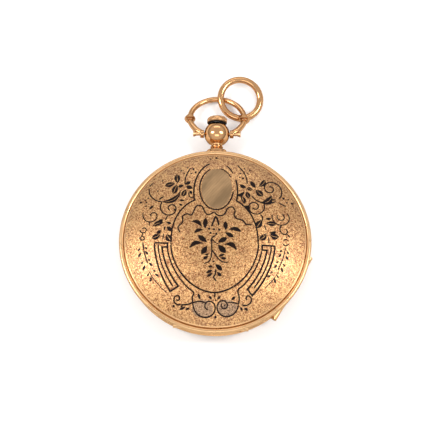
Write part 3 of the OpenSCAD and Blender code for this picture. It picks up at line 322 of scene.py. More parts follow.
def carve(obj, part, way="DIFFERENCE"):
    """The object's mesh after an exact cut by, or union with, a closed part."""
    cutter = make_piece("cutter", [part], obj.data.materials[0])
    mod = obj.modifiers.new("carve", "BOOLEAN")
    mod.operation, mod.object, mod.solver = way, cutter, "EXACT"
    bpy.context.view_layer.update()
    made = bpy.data.meshes.new_from_object(obj.evaluated_get(bpy.context.evaluated_depsgraph_get()))
    obj.modifiers.clear()
    old, obj.data = obj.data, made
    made.name = old.name
    bpy.data.meshes.remove(old)
    bpy.data.objects.remove(cutter)


def weld(mesh):
    """The mesh with points closer than 0.0001 mm joined, so that no seam is left open."""
    work = bmesh.new()
    work.from_mesh(mesh)
    bmesh.ops.remove_doubles(work, verts=work.verts, dist=1e-7)
    work.to_mesh(mesh)
    work.free()


def smooth_edges(obj, angle):
    weld(obj.data)
    shade_smooth(obj.data, angle)


def merged_copy(node, name, material):
    """A copy of a CAD node's mesh whose loose triangles are joined, as a new piece."""
    mesh = frame["nodes"][node].data.copy()
    mesh.name = name
    weld(mesh)
    return new_object(name, mesh, material)


def block(low, high):
    """Box between two corners."""
    (x0, y0, z0), (x1, y1, z1) = low, high
    p = np.array([(x, y, z) for z in (z0, z1) for y in (y0, y1) for x in (x0, x1)])
    return p, np.array([(0, 2, 3, 1), (4, 5, 7, 6), (0, 1, 5, 4), (2, 6, 7, 3), (0, 4, 6, 2), (1, 3, 7, 5)])


def drum(radius, low, high):
    """Closed cylinder about Z."""
    return turned([(0, low), (radius, low), (radius, high), (0, high)], 256)


def rod(radius, x0, x1):
    """Closed round bar along X."""
    return tube([(x0, 0, 0), (x1, 0, 0)], radius, 40)


def rounded_rod(radius, x0, x1, sides=40, edge=0.06):
    """Round bar along X whose ends are rounded by edge."""
    cut = 0.3 * edge
    x = [x0, x0 + cut, x0 + edge, x1 - edge, x1 - cut, x1]
    r = [radius - edge, radius - cut, radius, radius, radius - cut, radius - edge]
    return tube([(v, 0, 0) for v in x], r, sides)


# Formulas of the case


def lid_height(r):
    """Height of the lid's outside over its seam: its shoulder plus a dome that falls with the radius to the
    power 2.6."""
    return SHOULDER + (LID_RISE - SHOULDER) * (1 - (np.minimum(r, DOME_R) / DOME_R) ** 2.6)


def back_depth(r):
    """Depth of the back's outside under its seam: flat in the middle, then a parabola to the shoulder."""
    return BACK_SEAM - (BACK_SEAM - 0.75) * (np.maximum(r - FLAT_R, 0) / (DOME_R - FLAT_R)) ** 2


def bead(r, w, h):
    """Outline of a cover's lip and of its rounded bead of radius r, width w and height h: half a wave of the
    sine."""
    t = np.linspace(0, 1, 14)
    over = np.stack([r - 0.5 * w + 0.5 * w * np.cos(np.pi * t), 0.55 * h + 0.45 * h * np.sin(np.pi * t)], -1)
    over[-1] = (r - w, 0.86 * h)
    foot = [(LIP_R, -0.25), (HINGE_R, -0.25), (HINGE_R, 0), (r - 0.15 * w, 0), (r - 0.03 * w, 0.06 * w),
            (r, 0.16 * w)]
    return np.vstack([foot, over])


def cover_profile(lip, groove, height, outer, inner, play):
    """Outline of a cover: its lip and bead, its groove, its outside to the middle and its inside back to the
    lip."""
    inner = np.append(inner, LIP_R)
    inside = height(inner) - COVER_WALL
    inside[-1] -= play
    return np.vstack([lip, groove, np.stack([outer, height(outer)], -1), np.stack([inner, inside], -1)])


def hinge_place(angle, seam):
    """Frame of a hinge: X along the pin, Y towards the middle, Z up."""
    return turn(angle + 90, "Z") @ shift(0, -HINGE_R, seam)


FRONT_PLACE = hinge_place(FRONT_HINGE, FRONT_SEAM)
BACK_PLACE = hinge_place(BACK_HINGE, BACK_SEAM)


def knuckle(make, radius, number, longer):
    """One fifth of the hinge's length as a bar of the given make, longer by so much at each end."""
    middle, half = (number - 2) * HINGE_LEN / 5, HINGE_LEN / 10 + longer
    return make(radius, middle - half, middle + half)


def cover(name, profile, place, low, high, cuts, *materials):
    """A turned cover with the strip outside its hinge cut away from low to high over the seam, its own
    knuckles added, and room made for the other knuckles, for the pin and for whatever else is to be cut."""
    obj = make_piece(name, [turned(profile, bpy.context.scene.watch_sizes.turns)], *materials)
    carve(obj, moved(block((-HINGE_HALF, -TUBE_R - 3, low), (HINGE_HALF, -TUBE_R, high)), place))
    for number in COVER_KNUCKLES:
        carve(obj, moved(knuckle(rounded_rod, TUBE_R, number, -0.03), place), "UNION")
    for number in BAND_KNUCKLES:
        carve(obj, moved(knuckle(rod, TUBE_R + 0.1, number, ROOM_PLAY), place))
    for cut in (moved(rod(PIN_R + 0.02, -9, 9), place), *cuts):
        carve(obj, cut)
    smooth_edges(obj, 32)
    return obj


# Materials


class Nodes:
    """Short way to add and join the nodes of a new material or world."""

    def __init__(self, name, kind="materials"):
        self.owner = getattr(bpy.data, kind).new(name)
        self.owner.use_nodes = True
        self.tree = self.owner.node_tree
        self.place = self.add("TexCoord").outputs["Object"]

    def add(self, kind, **inputs):
        node = self.tree.nodes.new("ShaderNode" + kind)
        for key, value in inputs.items():
            if hasattr(node, key) and key not in node.inputs:
                setattr(node, key, value)
            else:
                self.join(value, node.inputs[key.replace("_", " ")])
        return node

    def join(self, value, socket):
        if isinstance(value, bpy.types.NodeSocket):
            self.tree.links.new(value, socket)
        else:
            socket.default_value = value

    def noise(self, scale, detail=3.0, rough=0.5, place=None):
        place = place or self.place
        return self.add("TexNoise", Vector=place, Scale=scale, Detail=detail, Roughness=rough).outputs["Fac"]

    def mapped(self, place, **inputs):
        return self.add("Mapping", Vector=place, **inputs).outputs["Vector"]

    def ramp(self, value, *stops):
        n = self.add("ValToRGB", Fac=value)
        ends = n.color_ramp.elements
        while len(ends) < len(stops):
            ends.new(0.5)
        for end, (at, tone) in zip(ends, stops):
            end.position, end.color = at, tone
        return n.outputs["Color"]

    def spread(self, value, low, high, at0=0.3, at1=0.7):
        """Low to high as the value goes from at0 to at1."""
        return self.add("MapRange", Value=value, From_Min=at0, From_Max=at1, To_Min=low,
                        To_Max=high).outputs["Result"]

    def mix(self, share, a, b, way="MIX"):
        n = self.add("Mix", data_type="RGBA", blend_type=way)
        for value, key in ((share, 0), (a, 6), (b, 7)):
            self.join(value, n.inputs[key])
        return n.outputs[2]

    def vary(self, value, tone, low, high, *at):
        """The tone made low to high times as light, as the value goes over its spread."""
        return self.mix(self.spread(value, 0, 1, *at), shade(tone, low), shade(tone, high))

    def math(self, way, a, b=0.0):
        n = self.add("Math", operation=way)
        self.join(a, n.inputs[0])
        self.join(b, n.inputs[1])
        return n.outputs[0]

    def bump(self, height, strength, distance, **under):
        return self.add("Bump", Height=height, Strength=strength, Distance=distance * MM,
                        **under).outputs["Normal"]

    def metal(self, base, rough, normal, **more):
        return self.finish(Base_Color=base, Metallic=1.0, Roughness=rough, Normal=normal, **more)

    def finish(self, **sockets):
        for key, value in sockets.items():
            self.join(value, self.tree.nodes["Principled BSDF"].inputs[key.replace("_", " ")])
        return self.owner


def shade(tone, k):
    """A colour made k times as light, without its alpha."""
    return tuple(min(1.0, c * k) for c in tuple(tone)[:3]) + (1.0,)


def polished_metal(n, tone, rough, wear, edge=(0.46, 0.37, 0.28, 1)):
    """Polished metal: slight colour drift, hair scratches in the bump, and smears in the roughness."""
    smears = n.spread(n.noise(420.0, 4.0, 0.6), rough - wear, rough + wear)
    scratches = n.bump(n.noise(2700.0, 4.0, 0.65), 0.12, 0.02)
    return n.metal(n.vary(n.noise(160.0), tone, 0.9, 1.05), smears, scratches, Specular_Tint=edge)


def painted_shade_below(n, tone, dark):
    """Polished metal with painted shade: its colour goes dark where its surface faces the watch (-Y), so that
    the shadow in the gap under the crown is painted in."""
    facing = n.add("SeparateXYZ", Vector=n.add("TexCoord").outputs["Normal"]).outputs["Y"]
    gold = n.vary(n.noise(160.0), tone, 0.9, 1.05)
    return n.finish(Base_Color=n.mix(n.spread(facing, 0, 1, -0.6, -0.1), dark, gold), Metallic=1.0,
                    Roughness=n.spread(facing, 0.6, 0.16, -0.6, -0.1))


def brushed_metal(n, tone, rough):
    """Metal with a fine straight grain: noise stretched along one axis, in colour and bump."""
    grain = n.noise(1400.0, 3.0, 0.6, n.mapped(n.place, Scale=(1.0, 14.0, 14.0)))
    return n.metal(n.vary(grain, tone, 0.86, 1.05), n.spread(grain, rough - 0.08, rough + 0.08),
                   n.bump(grain, 0.25, 0.012))


def stippled_gold(n, light, dark, grain):
    """Ground of the lid: worm-like grains from a warped cell pattern, dark in the hollows, with a fine grain
    over them."""
    scale = 1.0 / grain
    warp = n.add("TexNoise", Vector=n.place, Scale=scale * 0.9, Detail=2.0).outputs["Color"]
    warp = n.add("VectorMath", operation="SCALE", Vector=warp, Scale=grain * 1.5).outputs["Vector"]
    place = n.add("VectorMath", operation="ADD", Vector=n.place)
    n.join(warp, place.inputs[1])
    place = place.outputs["Vector"]
    cells = n.add("TexVoronoi", Vector=place, Scale=scale * 1.1).outputs["Distance"]
    ridge = n.math("ABSOLUTE", n.math("SUBTRACT", n.noise(scale * 1.25, 2.5, 0.6, place), 0.5))
    fine = n.noise(scale * 4.0, 2.0)
    height = n.math("ADD", n.math("MULTIPLY", n.spread(ridge, 1, 0, 0.0, 0.12), 0.7),
                    n.math("MULTIPLY", n.spread(cells, 1, 0, 0.0, 0.8), 0.6))
    lit = n.vary(n.noise(230.0, 3.0, 0.55), light, 0.86, 1.06, 0.35, 0.65)
    relief = n.bump(fine, 0.3, 0.008, Normal=n.bump(height, 1.0, 0.022))
    return n.metal(n.mix(n.spread(height, 0, 1, 0.25, 0.85), dark, lit), n.spread(fine, 0.24, 0.38), relief,
                   Coat_Weight=1.0, Coat_Roughness=0.2, Coat_Normal=relief)


def engraved_gold(n, tone):
    """Bare shield: matt ground crossed by fine slanting engraved lines and slow smears."""
    slanted = n.mapped(n.place, Rotation=(0, 0, math.radians(38)))
    lines = n.add("TexWave", Vector=slanted, Scale=620.0, Distortion=2.5, Detail=2.0,
                  Detail_Scale=1.2).outputs["Fac"]
    smear = n.noise(420.0, 3.0, 0.6, n.mapped(slanted, Scale=(1.0, 0.2, 1.0)))
    ground = n.vary(smear, tone, 0.72, 1.35, 0.35, 0.72)
    return n.finish(Base_Color=n.mix(n.spread(lines, 0.25, 0, 0, 1), ground, shade(tone, 0.6)), Metallic=0.9,
                    Roughness=0.46, Normal=n.bump(lines, 0.3, 0.02))


def enamel(n, tone):
    """Black enamel, glossy with a faint pitted skin."""
    return n.finish(Base_Color=n.vary(n.noise(700.0, 2.0), tone, 0.55, 1.5), Roughness=0.36, IOR=1.45,
                    Specular_IOR_Level=0.12, Normal=n.bump(n.noise(2600.0, 3.0, 0.6), 0.15, 0.01))


def striped_nickel(n, tone):
    """Nickelled bridge with broad rippled stripes: a wave across the plate under fine curved grain."""
    slanted = n.mapped(n.place, Rotation=(0, 0, math.radians(35)))
    wave = n.add("TexWave", Vector=slanted, Scale=105.0, Distortion=0.0, wave_profile="SAW").outputs["Fac"]
    grain = n.add("TexWave", Vector=slanted, Scale=1500.0, Distortion=3.0, Detail=2.0).outputs["Fac"]
    relief = n.bump(wave, 0.3, 0.05, Normal=n.bump(grain, 0.12, 0.01))
    return n.metal(n.mix(wave, shade(tone, 0.82), shade(tone, 1.04)), n.spread(wave, 0.2, 0.36, 0, 1), relief)


def grained_plate(n, tone):
    """Gilt plate with overlapping rubbed spots: the distance to the nearest spot sets the bump and the
    tone."""
    spots = n.add("TexVoronoi", Vector=n.place, Scale=900.0, Randomness=0.15).outputs["Distance"]
    rings = n.math("SINE", n.math("MULTIPLY", spots, 24.0))
    return n.metal(n.vary(spots, tone, 1.04, 0.84, 0.1, 0.7), 0.34, n.bump(rings, 0.25, 0.02))


def round_grain(n, tone):
    """Wheel metal with a fine polish: noise in bump and tone."""
    grain = n.noise(2600.0, 4.0, 0.7)
    return n.metal(n.vary(grain, tone, 0.88, 1.06), n.spread(grain, 0.19, 0.31), n.bump(grain, 0.12, 0.008))


def fired_enamel(n, tone):
    """White dial enamel: a smooth glassy skin with a faint orange-peel ripple."""
    return n.finish(Base_Color=n.vary(n.noise(1800.0, 2.0), tone, 0.96, 1.02), Roughness=0.14, IOR=1.5,
                    Normal=n.bump(n.noise(260.0, 2.0, 0.4), 0.05, 0.03))


def ink(n, dark, light):
    """Fired black numerals: nearly black, a little uneven."""
    return n.finish(Base_Color=n.ramp(n.noise(1500.0, 2.0), (0.3, dark), (0.7, light)), Roughness=0.3)


def clear_glass(n, tone):
    """Glass with a faint film in its roughness."""
    return n.finish(Base_Color=tone, Roughness=n.spread(n.noise(240.0, 3.0, 0.6), 0.01, 0.05), IOR=1.45,
                    Transmission_Weight=1.0)


def ruby(n, tone):
    """Half-clear red stone, deeper in places."""
    return n.finish(Base_Color=n.mix(n.noise(1800.0, 2.0), shade(tone, 0.7), shade(tone, 1.2)),
                    Roughness=0.08,
                    IOR=1.76, Transmission_Weight=0.35, Coat_Weight=0.4)


FINISH = {}


def all_materials():
    """Every finish of the watch, by its name; made once and kept."""
    c, grain = bpy.context.scene.watch_colours, bpy.context.scene.watch_sizes.grain
    recipes = {
        "case_gold": (polished_metal, c.case_gold, 0.3, 0.07),
        "stippled_gold": (stippled_gold, c.ground_gold, c.ground_shade, grain),
        "pitted_gold": (stippled_gold, rgb(176, 138, 98), rgb(80, 52, 32), 0.7 * grain),
        "shield_gold": (engraved_gold, c.shield_gold),
        "pendant_gold": (polished_metal, c.pink_gold, 0.15, 0.05, (0.26, 0.19, 0.13, 1)),
        # The crown's finish has painted shade: near black where its surface faces the ball.
        "crown_gold_painted_shade": (painted_shade_below, c.pink_gold, rgb(30, 16, 8)),
        "lid_enamel": (enamel, c.enamel_black),
        "dial_enamel": (fired_enamel, c.dial_white),
        "dial_ink": (ink, rgb(14, 12, 12), rgb(34, 30, 30)),
        "crystal_glass": (clear_glass, (0.98, 1.0, 1.0, 1)),
        "blued_steel": (polished_metal, c.blued_steel, 0.2, 0.05),
        "polished_steel": (brushed_metal, rgb(196, 198, 202), 0.24),
        "gilt_plate": (grained_plate, c.plate_gilt),
        "nickel_bridge": (striped_nickel, c.bridge_nickel),
        "wheel_brass": (round_grain, c.wheel_brass),
        "ruby": (ruby, c.jewel_red),
    }
    if not FINISH:
        FINISH.update({name: make(Nodes(name), *values) for name, (make, *values) in recipes.items()})
    return FINISH


# Operators


class WATCH_OT_finishes(bpy.types.Operator):
    """Give every carried-over part of the watch its own finish"""

    bl_idname = "watch.finishes"
    bl_label = "Finish the parts"

    def execute(self, context):
        made = all_materials()
        slots = {s["node"]: s["material_slot"] for s in frame["record"]["subparts"]}
        for name, node in frame["nodes"].items():
            node.data.materials.clear()
            node.data.materials.append(made.get(slots[name], made["case_gold"]))
        return {"FINISHED"}


class WATCH_OT_front_lid(bpy.types.Operator):
    """Build the domed front lid with its stippled ground, polished rim and bead"""

    bl_idname = "watch.front_lid"
    bl_label = "Front lid"

    def execute(self, context):
        made = all_materials()
        lip, groove = bead(CASE_R, 1.0, 0.9), [(18.98, 0.8), (18.93, 0.9)]
        outer, inner = DOME_R * np.linspace(1, 0, 72) ** 0.8, np.linspace(0, INSIDE_R, 40)
        profile = cover_profile(lip, groove, lid_height, outer, inner, 0.1) + (0, FRONT_SEAM)
        catch = block((-1.8, 16.95, FRONT_SEAM - 0.5), (1.8, 18.15, FRONT_SEAM - 0.05))
        obj = cover("lid_shell", profile, FRONT_PLACE, -0.4, 0.02, [catch], made["case_gold"],
                    made["stippled_gold"])
        hand_over(obj, "front_cover", "lid_gold", "front_lid")
        faces = obj.data.polygons
        centre, normal = np.zeros(len(faces) * 3), np.zeros(len(faces) * 3)
        faces.foreach_get("center", centre)
        faces.foreach_get("normal", normal)
        inside = np.hypot(centre[::3], centre[1::3]) < context.scene.watch_sizes.rim_start
        ground = inside & (normal[2::3] > 0.3)
        faces.foreach_set("material_index", ground.astype(np.int32))
        return {"FINISHED"}


def on_lid(xy, rise):
    """Points over the lid: the lid's height at their radius plus rise."""
    xy = np.asarray(xy, float)
    z = FRONT_SEAM + lid_height(np.hypot(xy[..., 0], xy[..., 1])) + rise
    return np.concatenate([xy, z[..., None]], -1)


# Ornament of the lid, seen from above, in mm
# The places were picked on enlarged parts of the photo. A scratch script turned most of them into mm on the
# lid, and here they are rounded to 0.1 mm.

# The shield, and the pitted fields inside the two lower scrolls: middle, half width and half height
SHIELD = (0.14, 10.42, 3.2, 4.78)
SCROLL_FIELDS = ((-2.35, -15.35, 2.2, 1.72), (2.58, -15.1, 2.22, 1.6))
# Middle of the large oval, and the powers of its lower half and of the lines that run outside it
OVAL = (-0.1, -1.8)
OVAL_POWER = 1.85
OUTER_POWER = 1.75
# Widths of the drawn lines, before the line scale; the key patterns alone have sharp corners
HAIR, THIN, USUAL, BOLD, WIDE, COLLAR_WIDTH, KEY_WIDTH, BUD = 0.09, 0.13, 0.15, 0.17, 0.18, 0.19, 0.2, 0.21
LARGE_DOT, SMALL_DOT = 0.29, 0.21
# How far the edge of the enamel reaches into the lid
SUNK = -0.05


def oval_arc(x, y, wide, high, start, end, power=2.0):
    """Points of an oval arc: half axes times cosine and sine, each to 2 over power; angles in degrees."""
    c = circle(np.linspace(start, end, max(3, round(abs(end - start) / 6))))
    return (x, y) + np.sign(c) * np.abs(c) ** (2 / power) * (wide, high)


def scroll(x, y, big, small, start, turns, fall):
    """Points of a spiral: its radius falls from big to small with the power fall of what is left of the
    turns."""
    u = np.linspace(0, 1, max(8, round(abs(turns) / 18)))
    return (x, y) + (small + (big - small) * (1 - u) ** fall)[:, None] * circle(start + turns * u)


def frame_lines():
    """The oval round the shield, its collar, the large oval, the line outside it and the two ties below."""
    small, collar = (0.1, 10.4, 3.5, 4.95), (0.1, 9.6)
    return [
        (BOLD, oval_arc(*small, 112, 353)),
        (USUAL, oval_arc(*small, 33, 77)),
        (COLLAR_WIDTH, oval_arc(*collar, 4.7, 7.2, 108, 196)),
        (COLLAR_WIDTH, oval_arc(*collar, 4.38, 7.2, -17, 25)),
        (USUAL, oval_arc(*collar, 4.38, 7.2, 40, 63)),
        (WIDE, oval_arc(*OVAL, 9.03, 10.2, 113, 180, 2.35)),
        (WIDE, oval_arc(*OVAL, 8.95, 10.4, 0, 64, 2.2)),
        (WIDE, oval_arc(*OVAL, 9.03, 10.38, 180, 360, OVAL_POWER)),
        (BOLD, np.vstack([oval_arc(*OVAL, 9.8, 11.95, 185, 242, OUTER_POWER),
                          ((-4.5, -13.1), (-4.4, -14.3))])),
        (BOLD, np.vstack([oval_arc(*OVAL, 9.85, 11.95, 351, 303, OUTER_POWER), ((5.1, -13), (5, -14.4))])),
        (BOLD, ((0.1, -12.2), (0.1, -13.2))),
    ]


def key_lines():
    """The two key patterns: a closed frame that follows the large oval, with a line along its middle."""
    lines = []
    for top, *arcs in (
        (((-12.45, -1.6), (-9.8, -1.85), (-9.8, -2.6)),
         (10.9, 13.4, 185, 225), (12.4, 16.2, 221, 181), (11.65, 14.6, 181, 221)),
        (((12.4, -1.95), (9.7, -2), (9.7, -3)),
         (10.9, 13.3, 353, 312), (12.45, 15, 312, 359), (11.7, 14.2, 359, 317)),
    ):
        inner, outer, middle = (oval_arc(*OVAL, *arc, OUTER_POWER) for arc in arcs)
        lines += [(KEY_WIDTH, np.vstack([top, inner, outer, top[:1]])), (BOLD, middle)]
    return lines


def wavy_lines():
    """The wavy line on both sides under the shield."""
    return [
        (BOLD, ((-7.3, 0.4), (-7.7, 1.6), (-6.8, 2.7), (-6.8, 4), (-5.9, 4.5), (-5, 4.2), (-4.4, 5.4),
                (-3.9, 6.3), (-2.9, 6.2), (-2.1, 4.7), (-1.4, 4.3), (-0.3, 4.9))),
        (BOLD, ((-0.3, 4.9), (0.3, 4.3), (1.1, 4.1), (1.9, 4.6), (2.5, 5.8), (3.5, 6.1), (4, 5.2), (3.8, 4.4),
                (4.3, 3.6), (5.6, 3.2), (6.3, 2.4), (7.5, 2.3))),
    ]


def flower_lines():
    """The bud, stems and tendrils of the flower inside the large oval, and the stem of the sprig below it."""
    return [
        (BUD, ((0, 3.9), (-0.4, 2.9), (-0.8, 1.7))),
        (BUD, ((0.1, 3.9), (0.5, 2.9), (0.7, 2))),
        (WIDE, ((0.1, -0.2), (-0.6, -0.7), (-0.9, -1.6))),
        (USUAL, ((-0.7, -0.9), (-0.7, -2.4), (-0.7, -4), (-0.8, -5), (-1.2, -5.8), (-2.2, -6.3))),
        (USUAL, ((-0.7, -3.3), (0.4, -4.8), (1, -5.5), (1.7, -5.9), (2.7, -5.9))),
        (THIN, ((-0.6, -1), (-0.1, -1.7), (0.7, -2.1))),
        (BOLD, ((0.2, -7.4), (0.1, -8.5), (-0.2, -9.1), (0.4, -9.9))),
    ]


def scroll_lines():
    """The scrolls at the sides and at the bottom: middle, outer and inner radius, start, turn and fall of
    each."""
    spirals = (
        (BOLD, -1.2, -14.85, 3.26, 0.68, 170, 460, 2.5), (BOLD, 2, -14.7, 3, 0.55, 5, -600, 3),
        (BOLD, -7.5, -13.25, 1.4, 0.36, 298, -454, 3), (BOLD, 6.9, -13, 1.9, 0.38, 227, 386, 4),
        (USUAL, -9.3, 5.9, 2.4, 0.5, 143, 475, 2), (THIN, -13.1, 4.5, 2.1, 0.25, 158, 440, 1.6),
        (THIN, -14.85, 1.4, 0.75, 0.4, 170, 330, 1), (USUAL, 11.3, 10.9, 2.8, 0.6, -48, 535, 2.4),
        (USUAL, 8.1, 6.4, 2.1, 0.45, 23, -547, 1.5), (USUAL, 14.4, 1.5, 1.47, 0.5, 116, 322, 3),
    )
    lines = [(width, scroll(*v)) for width, *v in spirals]
    lines += [(THIN, oval_arc(13.5, 4.5, 1.8, 1.7, 40, -195)),
              (THIN, oval_arc(13.5, 4.6, 0.75, 0.72, 76, -211))]
    lines.append((BOLD, ((-6.8, -14.5), (-5.6, -14.5), (-4.2, -14.1), (-2.9, -13.9), (-1.9, -14.2))))
    lines.append((USUAL, ((2.7, -14.1), (3.7, -14), (5, -14.3))))
    return lines


def tendril_lines():
    """The stems that run along the edge, the tendrils beside the shield and the short strokes between the
    leaves."""
    return [
        (USUAL, oval_arc(0, 0, 15, 15, 184.5, 203)), (HAIR, oval_arc(0, 0, 15.5, 15.5, 209, 231)),
        (THIN, oval_arc(0, 0, 14.7, 14.7, -8, -28)), (HAIR, oval_arc(0, 0, 15, 15, -29, -46)),
        (USUAL, ((-5.4, 15.4), (-6.2, 13.7), (-6.5, 11.9), (-6.2, 11.2))),
        (USUAL, ((4.4, 16.3), (5.7, 14.6), (6.3, 13.1), (6.5, 11.7))),
        (USUAL, ((-11.1, 7.4), (-12.6, 8), (-13.7, 9.3), (-14, 10.9))),
        (THIN, ((-13.9, 11.4), (-13.1, 12.2))),
        (USUAL, ((7.4, 8.9), (8.3, 8), (9.7, 7.5), (11.2, 7.5), (12.5, 8.1))),
        (USUAL, ((-9.9, 4.2), (-10.4, 3.2))), (USUAL, ((9.3, 4.8), (9.7, 4.1), (9.7, 3.4))),
        (THIN, ((-5.7, 9.5), (-5.5, 8.5), (-5.1, 8.2), (-4.5, 8.2))),
        (USUAL, ((5.3, 8.8), (5.4, 7.9), (5.9, 7.1))), (USUAL, ((13.1, 7.9), (14.6, 7.1))),
        (THIN, ((-13.7, 3.2), (-13.7, 2.2))), (BOLD, ((14.8, 1), (15.5, 0.3))),
        (USUAL, ((-15.1, 0.8), (-15.2, 0.1), (-15.6, -0.3), (-15.1, -0.8), (-14.6, -0.5), (-15.1, 0.1))),
        (THIN, ((13.9, -1.1), (14.5, -1.6), (15.3, -1.1))),
        (THIN, ((14.1, -0.6), (14.5, -0.2), (15.1, -0.4))),
        (BOLD, ((-10.4, 1.9), (-10.6, 1))), (THIN, ((-10.7, 0.3), (-10.8, -1))),
        (THIN, ((10.1, 2.5), (10.5, 1.3))), (THIN, ((11, -0.1), (11.1, -1.5))),
    ]


# Leaves: middle, direction of the tip in degrees, length, width and, where the leaf is bowed, how much
PLAIN_LEAVES = (
    # round the flower
    (-3.9, 2.1, 148, 2.7, 1.1, 0.22), (-2.1, 2.4, 88, 2.4, 1.3), (-3.4, 0.6, 200, 2.1, 1, 0.15),
    (2.1, 1.9, 95, 2, 1.2), (4, 0.9, -8, 2.7, 1.2, -0.15), (2.9, 0, -28, 2.1, 1.2),
    (-2.6, -1, 142, 2.5, 1.4), (-3.8, -2.6, 198, 3.2, 1.2, 0.24), (-2.2, -3.4, 238, 2.2, 1.4),
    (1.5, -1.2, 30, 2.2, 1.4), (3.1, -2.8, -22, 3, 1.3, -0.25), (1.4, -3.1, -46, 2.4, 1.6),
    (-1.7, -4.2, 6, 0.9, 0.6, 0.2), (-1.9, -5, 213, 1.3, 0.8), (1.3, -4.5, 24, 1.4, 0.7),
    (1.7, -5.1, -8, 1.4, 0.7),
    # sprig under the flower
    (-0.9, -6.9, 185, 1, 0.6), (-1.1, -7.9, 206, 1.5, 0.8), (-1, -8.6, 214, 1.4, 0.8),
    (0.8, -7, -41, 2, 1.2), (0.9, -8.4, -46, 1.3, 0.9),
    # upper left
    (-7.3, 11, 197, 1.3, 1), (-5.8, 11.7, 212, 1.3, 1.1), (-5.5, 10.6, 157, 1.6, 1.2),
    (-5.2, 9.4, 120, 1, 0.8),
    (-11.3, 8.4, 213, 1.5, 0.5), (-7.1, 7.6, -7, 1.3, 0.6), (-7.3, 6.6, -30, 0.9, 0.6),
    (-13.3, 6.4, 215, 1.3, 0.7),
    # left, over the key pattern
    (-11.3, 3.1, 218, 1.1, 1.2), (-9.7, 2.6, -25, 1.3, 0.7), (-9.5, 1.3, -43, 1.6, 1.2),
    (-11.6, 0.7, 216, 1.2, 1),
    # upper right
    (5.6, 11, 155, 1.5, 1.1), (7.7, 11.6, 125, 2, 1.2), (5.1, 9.3, 218, 2, 1, -0.15),
    (5.6, 7.8, -70, 2, 0.7, -0.2), (6.6, 6.2, -38, 1.3, 1.2), (12, 8.4, 14, 1, 0.5),
    # right, over the key pattern
    (10.9, 3.9, 12, 1.3, 0.8), (11.8, 1.1, 15, 1.5, 1, 0.2),
    # round the lower scrolls
    (-6.5, -15.2, 200, 1.4, 0.7), (-5.4, -15.3, 205, 1, 0.6), (-6.7, -14.8, 30, 0.7, 0.4),
    (-3.1, -13, 109, 1.3, 0.7), (-0.8, -13.2, 138, 0.9, 0.7), (0.9, -13.2, 32, 0.9, 0.7),
    (3.9, -13.2, 44, 1.2, 0.7),
    (5.6, -15.2, 123, 0.9, 0.6), (6.6, -15.2, 161, 1, 0.7),
)
# The larger leaves, each drawn as two halves with a gap along its rib
RIBBED_LEAVES = (
    (-8.1, 12.8, 96, 2.3, 1.5), (-9.6, 11.5, 194, 2.2, 1.4), (-8.5, 10.3, 252, 2.4, 1.5),
    (-6.6, 9.3, 247, 1.9, 1.3),
    (-9.3, 8.8, 213, 5, 1.3, -0.22), (-11.8, 2.4, 195, 2.3, 1.3, 0.1), (-12.2, -0.3, 200, 1.9, 1.5),
    (-9.6, -0.7, -55, 2, 1.6), (9.5, 12.2, 55, 2.3, 1.3, 0.15), (9, 9.7, -42, 2.1, 1.6),
    (7, 10.5, 169, 1.3, 1),
    (6.6, 9.1, -73, 1.7, 1.2), (10.4, 8.4, 38, 3.2, 1.7, 0.22), (9, 2.6, 238, 2.4, 1.6),
    (11.5, 2.9, 0, 2.1, 1.3),
    (9.8, -0.1, 227, 2.2, 1.4, -0.1), (12.2, 0.3, -12, 2, 1.5, 0.1),
)
# Leaves of one pair along the edge: turn from the pair's place, distance from the stem, tip's turn from
# outwards, length and width
PAIR_LEAVES = (
    (0, 0.75, 40, 0.8, 0.5), (4, 0.8, 45, 1.2, 0.65), (0.3, -0.7, 115, 0.8, 0.5), (4.3, -0.65, 110, 1.1, 0.6),
)
LARGE_DOTS = (
    (-1.3, 1.2), (-0.3, 1.1), (-1, 0.3), (0.2, 0.1), (0.8, 1), (0, 3.8), (-4.8, 15.1), (-4.3, 14.3), (0, 18),
    (-15.6, 7.8), (-8.5, 5.5), (5.6, 13), (14.1, 9), (15.9, 8.1), (6.8, 6.2), (-8.3, -14.7), (0.3, -16.9),
)
SMALL_DOTS = (
    (-7.3, 14.8), (-6.7, 14.1), (-5.2, 14), (-6, 15.5), (-1.2, 17.7), (-14.7, 8.2), (-14.1, 8.6),
    (-14.4, 7.6),
    (-12.1, 10.1), (-14.5, 6.8), (-11.2, 12.5), (5.9, 15.5), (7, 15.1), (6.5, 14.4), (5, 14.2), (4.9, 13.2),
    (15.1, 8.9), (14.8, 8.1), (11.8, 8.4), (0.3, -13.7), (2.1, -14.6), (-0.3, -5.8),
)


def edge_leaves():
    """Three pairs of leaves along the stem at each side, laid out on the left and mirrored to the right."""
    leaves = []
    for side, stem, first in ((-1, 15.2, 10.0), (1, 14.6, 11.5)):
        for k in range(3):
            for further, off, aim, length, width in PAIR_LEAVES:
                a = 180 + first + 10.4 * k + further
                x, y = (stem + off) * circle(a)
                leaves.append((-side * x, y, a + aim if side < 0 else 180 - a - aim, length, width))
    return tuple(leaves)


